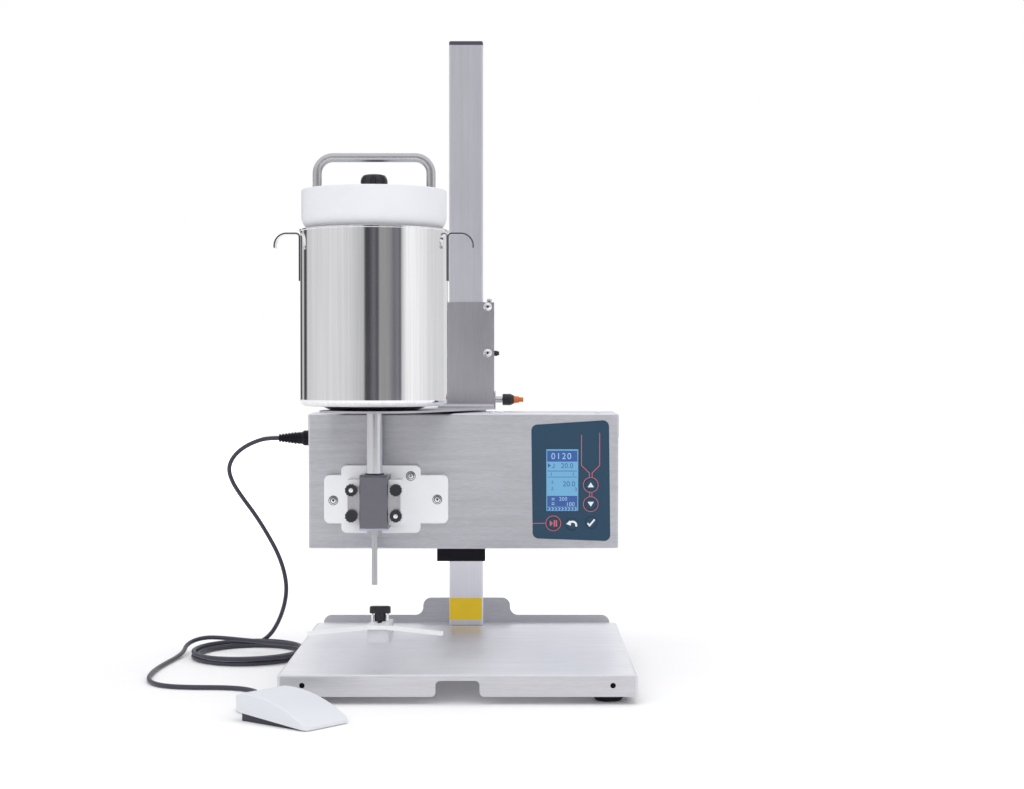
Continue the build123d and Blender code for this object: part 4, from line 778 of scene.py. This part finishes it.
# Places on the panel are millimetres right of the tray's middle and up from the head's underside.
PANEL_FACE = HEAD_FRONT - 0.8
GLASS_FACE = HEAD_FRONT - 0.5
KEY_FACE = HEAD_FRONT - 1.2
LINE_WIDTH = 0.9
SHORT_LINE_WIDTH = 0.8
RING_OUTSIDE = 10.8
RING_INSIDE = 10
FIELD_THICKNESS = 0.10
BAND_THICKNESS = 0.20
MARK_THICKNESS = 0.28
KEYS = {
    "key_up": (178.5, 90),
    "key_down": (178.5, 63),
    "key_start": (126, 36),
    "key_back": (152, 35),
    "key_confirm": (179, 37),
}

coral_lines = [
    stroke([(165.5, 160), (165.5, 117.2), (176.6, 106.7), (176.6, 100.4)], LINE_WIDTH),
    stroke([(191.0, 163), (191.0, 117.2), (180.4, 106.7), (180.4, 100.4)], LINE_WIDTH),
    stroke([(176.9, 79.4), (176.9, 73.6)], SHORT_LINE_WIDTH),
    stroke([(180.1, 79.4), (180.1, 73.6)], SHORT_LINE_WIDTH),
    stroke([(96.6, 36.1), (115.4, 36.1)], LINE_WIDTH),
]
coral_shapes = [[line] for line in coral_lines]
for key in ("key_up", "key_down", "key_start"):
    coral_shapes.append([circle(*KEYS[key], RING_OUTSIDE), circle(*KEYS[key], RING_INSIDE)])
panel_place = stand((0, PANEL_FACE, HEAD_BOTTOM), FRONT)
add_piece("panel_lines", printed(coral_shapes), panel_place, "head", "panel", coral_ink)

field = [[rounded(116.2, 53.4, 161, 140.3, 1)]]
bands = [
    [bar(117.4, 122.6, 159.6, 138)],
    [bar(117.4, 59.2, 159.6, 74.6)],
    [bar(117.4, 54.2, 159.6, 58.6)],
    [bar(118, 109, 159, 109.9)],
    [bar(118, 100.6, 159, 101.4)],
    [bar(122.6, 103, 123.4, 107.4)],
    [bar(153.6, 103, 154.4, 107.4)],
    [[(118.4, 113.8), (122.6, 117.2), (118.4, 120.6)]],
    [bar(124.2, 114, 127.6, 115)],
    [bar(126.6, 115, 127.6, 119.6)],
]
for low in (92, 83):
    bands.append([bar(122.8, low, 126.4, low + 0.8)])
    bands.append([bar(123.8, low + 2, 125.4, low + 3.6)])
band_numbers = [
    ("20.0", 136.5, 113.8, 6.8, 1.05),
    ("20.0", 139, 88, 7.2, 1.02),
    ("3", 155.6, 81.2, 5.2, 1),
]
marks = [[bar(123.6, low, 127.6, low + 1)] for low in (70.6, 68.4, 64.2, 62)]
for step in range(9):
    left = 119.4 + 4.6 * step
    marks.append([stroke([(left, 54.5), (left + 2.4, 56.4), (left, 58.3)], LINE_WIDTH)])
mark_numbers = [
    ("0120", 122.8, 126.2, 8.6, 1.22),
    ("200", 134, 67.8, 5.2, 1.05),
    ("100", 143.6, 60.3, 5.6, 1.05),
]
display_layers = {
    "display_field": (printed(field, ink=FIELD_THICKNESS), field_ink),
    "display_bands": (printed(bands, band_numbers, BAND_THICKNESS), band_ink),
    "display_marks": (printed(marks, mark_numbers, MARK_THICKNESS), mark_ink),
}
glass_place = stand((0, GLASS_FACE, HEAD_BOTTOM), FRONT)
for name, (layer, ink) in display_layers.items():
    add_piece(name, layer, glass_place, "head", "display_glass", ink)


def up_symbol(x, y):
    """A triangle that points up."""
    return [[[(x - 4.4, y - 3.3), (x + 4.4, y - 3.3), (x, y + 3.6)]]]


def down_symbol(x, y):
    """A triangle that points down."""
    return [[[(x - 4.4, y + 3.3), (x, y - 3.6), (x + 4.4, y + 3.3)]]]


def start_symbol(x, y):
    """A triangle that points right, for start, and two bars beside it, for pause."""
    triangle = [(x - 5, y - 4.4), (x - 0.6, y), (x - 5, y + 4.4)]
    left_bar = bar(x + 0.6, y - 4.4, x + 2.4, y + 4.4)
    right_bar = bar(x + 3.4, y - 4.4, x + 5.2, y + 4.4)
    return [[triangle], [left_bar], [right_bar]]


def back_symbol(x, y):
    """An arrow that bends back to the left, as one outline."""
    middle_x, middle_y = x + 0.8, y - 1.4
    angles = [radians(120 - 8 * step) for step in range(19)]
    arc = stroke([(middle_x + 5.4 * cos(angle), middle_y + 4.8 * sin(angle)) for angle in angles], 2.8)
    outside, inside = arc[:len(angles)], arc[len(angles):]
    tip = [
        (middle_x - 3.4, middle_y + 6.6),
        (middle_x - 8.8, middle_y + 1.6),
        (middle_x - 2.2, middle_y - 0.8),
    ]
    return [[tip + inside[::-1] + outside[::-1]]]


def tick_symbol(x, y):
    """A tick."""
    return [[stroke([(x - 5, y - 0.6), (x - 2.2, y - 4), (x + 5, y + 4.6)], 2.4)]]


SYMBOLS = {
    "key_up": up_symbol,
    "key_down": down_symbol,
    "key_start": start_symbol,
    "key_back": back_symbol,
    "key_confirm": tick_symbol,
}
key_place = stand((0, KEY_FACE, HEAD_BOTTOM), FRONT)
for key, symbol in SYMBOLS.items():
    ink = coral_ink if key == "key_start" else white_ink
    add_piece(f"symbol_{key}", printed(symbol(*KEYS[key])), key_place, key, "key_panel", ink)

# Plain patch on the column

PATCH_THICKNESS = 0.3

patch = printed([[rounded(-24.2, 46.6, 23.4, 79, 1.5)]], ink=PATCH_THICKNESS)
add_piece("column_patch", patch, stand((0, COLUMN_FACE, 0), FRONT), "base", "panel", patch_film)

# Floor and light

# The floor's glow is weak near the object, strong far away, and has a level of its own in reflections.
FLOOR_REACH = 9
FLOOR_GLOW = 0.03
MIRRORED_GLOW = 0.12
FAR_GLOW = 0.9
GLOW_DISTANCES = (0.5, 2.5)


def backdrop_material():
    """Pale floor that fades to white away from the object and still holds its shadow."""
    shader = Shader("floor_white", (0.92, 0.92, 0.92), 0.7)
    shader.surface.inputs["Specular IOR Level"].default_value = 0.1
    shader.shade(shader.ramp(shader.noise(3, detail=3), 0.985, 1.0))
    output = shader.tree.nodes["Material Output"]
    glow = shader.add("ShaderNodeEmission")
    glow.inputs["Color"].default_value = (1, 1, 1, 1)
    path = shader.add("ShaderNodeLightPath")
    mirrored = shader.combine(path.outputs["Is Glossy Ray"], path.outputs["Is Transmission Ray"], "MAXIMUM")
    away = shader.add("ShaderNodeVectorMath", operation="LENGTH")
    shader.link(shader.coordinates, away.inputs[0])
    level = shader.ramp(away.outputs["Value"], FLOOR_GLOW, FAR_GLOW, *GLOW_DISTANCES)
    shown = shader.combine(path.outputs["Is Camera Ray"], level)
    strength = shader.combine(shown, shader.combine(mirrored, MIRRORED_GLOW), "ADD")
    shader.link(strength, glow.inputs["Strength"])
    both = shader.add("ShaderNodeAddShader")
    shader.link(shader.surface.outputs["BSDF"], both.inputs[0])
    shader.link(glow.outputs["Emission"], both.inputs[1])
    shader.link(both.outputs["Shader"], output.inputs["Surface"])
    return shader.material


floor_corners = [(FLOOR_REACH * x, FLOOR_REACH * y, 0) for x, y in ((-1, -1), (1, -1), (1, 1), (-1, 1))]
floor_mesh = bpy.data.meshes.new("studio_floor")
floor_mesh.from_pydata(floor_corners, [], [(0, 1, 2, 3)])
floor_mesh.materials.append(backdrop_material())
studio_floor = bpy.data.objects.new("studio_floor", floor_mesh)
scene.collection.objects.link(studio_floor)

# The studio round the object, as degrees from the camera's side towards the right and a brightness: dark
# behind the camera, a bright softbox right of it, a wide pale one left of it, and dark gaps at the back.
STUDIO_BANDS = [
    (-180, 0.80),
    (-168, 0.76),
    (-164, 0.08),
    (-150, 0.08),
    (-145, 0.60),
    (-139, 0.60),
    (-135, 0.06),
    (-127, 0.08),
    (-123, 0.66),
    (-106, 0.73),
    (-78, 0.79),
    (-46, 0.77),
    (-28, 0.67),
    (-12.5, 0.54),
    (-9.5, 0.06),
    (-3, 0.08),
    (3, 0.17),
    (6.5, 0.12),
    (9.5, 0.08),
    (12.5, 0.36),
    (27, 0.31),
    (34, 0.19),
    (41, 0.22),
    (45, 0.14),
    (48, 0.66),
    (55, 1.00),
    (66, 1.08),
    (85, 0.91),
    (102, 0.80),
    (124, 0.74),
    (154, 0.80),
    (180, 0.80),
]

DARK_LEVEL = 0.25
DARK_TINT = (1, 0.97, 1.10)
PALE_TINT = (1, 1, 1.01)
CEILING_COLOUR = (1.0, 1.0, 1.02, 1)
CEILING_START = 0.14
CEILING_FULL = 0.64


def studio_world():
    """White to the camera, and to everything else the studio's bands below a pale ceiling."""
    world = bpy.data.worlds.new("studio")
    world.use_nodes = True
    tree = world.node_tree
    coordinates = tree.nodes.new("ShaderNodeTexCoord")
    parts = tree.nodes.new("ShaderNodeSeparateXYZ")
    tree.links.new(coordinates.outputs["Generated"], parts.inputs["Vector"])

    towards = tree.nodes.new("ShaderNodeMath")
    towards.operation = "MULTIPLY"
    towards.inputs[1].default_value = -1
    tree.links.new(parts.outputs["Y"], towards.inputs[0])
    angle = tree.nodes.new("ShaderNodeMath")
    angle.operation = "ARCTAN2"
    tree.links.new(parts.outputs["X"], angle.inputs[0])
    tree.links.new(towards.outputs["Value"], angle.inputs[1])
    share = tree.nodes.new("ShaderNodeMapRange")
    share.inputs["From Min"].default_value = -pi
    share.inputs["From Max"].default_value = pi
    tree.links.new(angle.outputs["Value"], share.inputs["Value"])

    bands = tree.nodes.new("ShaderNodeValToRGB")
    bands.color_ramp.interpolation = "LINEAR"
    stops = bands.color_ramp.elements
    stops[0].position = 0
    stops[1].position = 1
    for band_angle, level in STUDIO_BANDS[1:-1]:
        stops.new((band_angle + 180) / 360)
    for stop, (band_angle, level) in zip(stops, STUDIO_BANDS):
        tint = DARK_TINT if level < DARK_LEVEL else PALE_TINT
        stop.color = (*(level * channel for channel in tint), 1)
    tree.links.new(share.outputs["Result"], bands.inputs["Fac"])

    above = tree.nodes.new("ShaderNodeMapRange")
    above.inputs["From Min"].default_value = CEILING_START
    above.inputs["From Max"].default_value = CEILING_FULL
    tree.links.new(parts.outputs["Z"], above.inputs["Value"])
    ceiling = tree.nodes.new("ShaderNodeMix")
    ceiling.data_type = "RGBA"
    ceiling.inputs["B"].default_value = CEILING_COLOUR
    tree.links.new(above.outputs["Result"], ceiling.inputs["Factor"])
    tree.links.new(bands.outputs["Color"], ceiling.inputs["A"])

    path = tree.nodes.new("ShaderNodeLightPath")
    direct = tree.nodes.new("ShaderNodeMath")
    direct.operation = "MAXIMUM"
    tree.links.new(path.outputs["Is Camera Ray"], direct.inputs[0])
    tree.links.new(path.outputs["Is Transmission Ray"], direct.inputs[1])
    seen = tree.nodes.new("ShaderNodeMix")
    seen.data_type = "RGBA"
    seen.inputs["B"].default_value = (1, 1, 1, 1)
    tree.links.new(direct.outputs["Value"], seen.inputs["Factor"])
    tree.links.new(ceiling.outputs["Result"], seen.inputs["A"])
    background = tree.nodes["Background"]
    background.inputs["Strength"].default_value = 1
    tree.links.new(seen.outputs["Result"], background.inputs["Color"])
    return world


scene.world = studio_world()


def softbox(name, position, target, size, power):
    """A large soft lamp that points at a place on the machine and isn't seen in its reflections."""
    lamp = bpy.data.lights.new(name, "AREA")
    lamp.shape = "RECTANGLE"
    lamp.size, lamp.size_y = size
    lamp.energy = power
    box = bpy.data.objects.new(name, lamp)
    box.location = position
    box.rotation_euler = (Vector(target) - Vector(position)).to_track_quat("-Z", "Y").to_euler()
    box.visible_glossy = False
    scene.collection.objects.link(box)


LOWER_MIDDLE = (0, 0, 0.3)
UPPER_MIDDLE = (0, 0, 0.35)

softbox("key_softbox", (-1.6, -2.2, 2.3), UPPER_MIDDLE, (1.4, 1.4), 9)
softbox("fill_softbox", (2.0, -1.8, 1.6), UPPER_MIDDLE, (1.2, 1.6), 7)
softbox("front_softbox", (0, -3.2, 1.0), LOWER_MIDDLE, (2.4, 1.4), 16)
softbox("top_softbox", (0.1, 0.2, 2.6), LOWER_MIDDLE, (2.0, 2.0), 8)
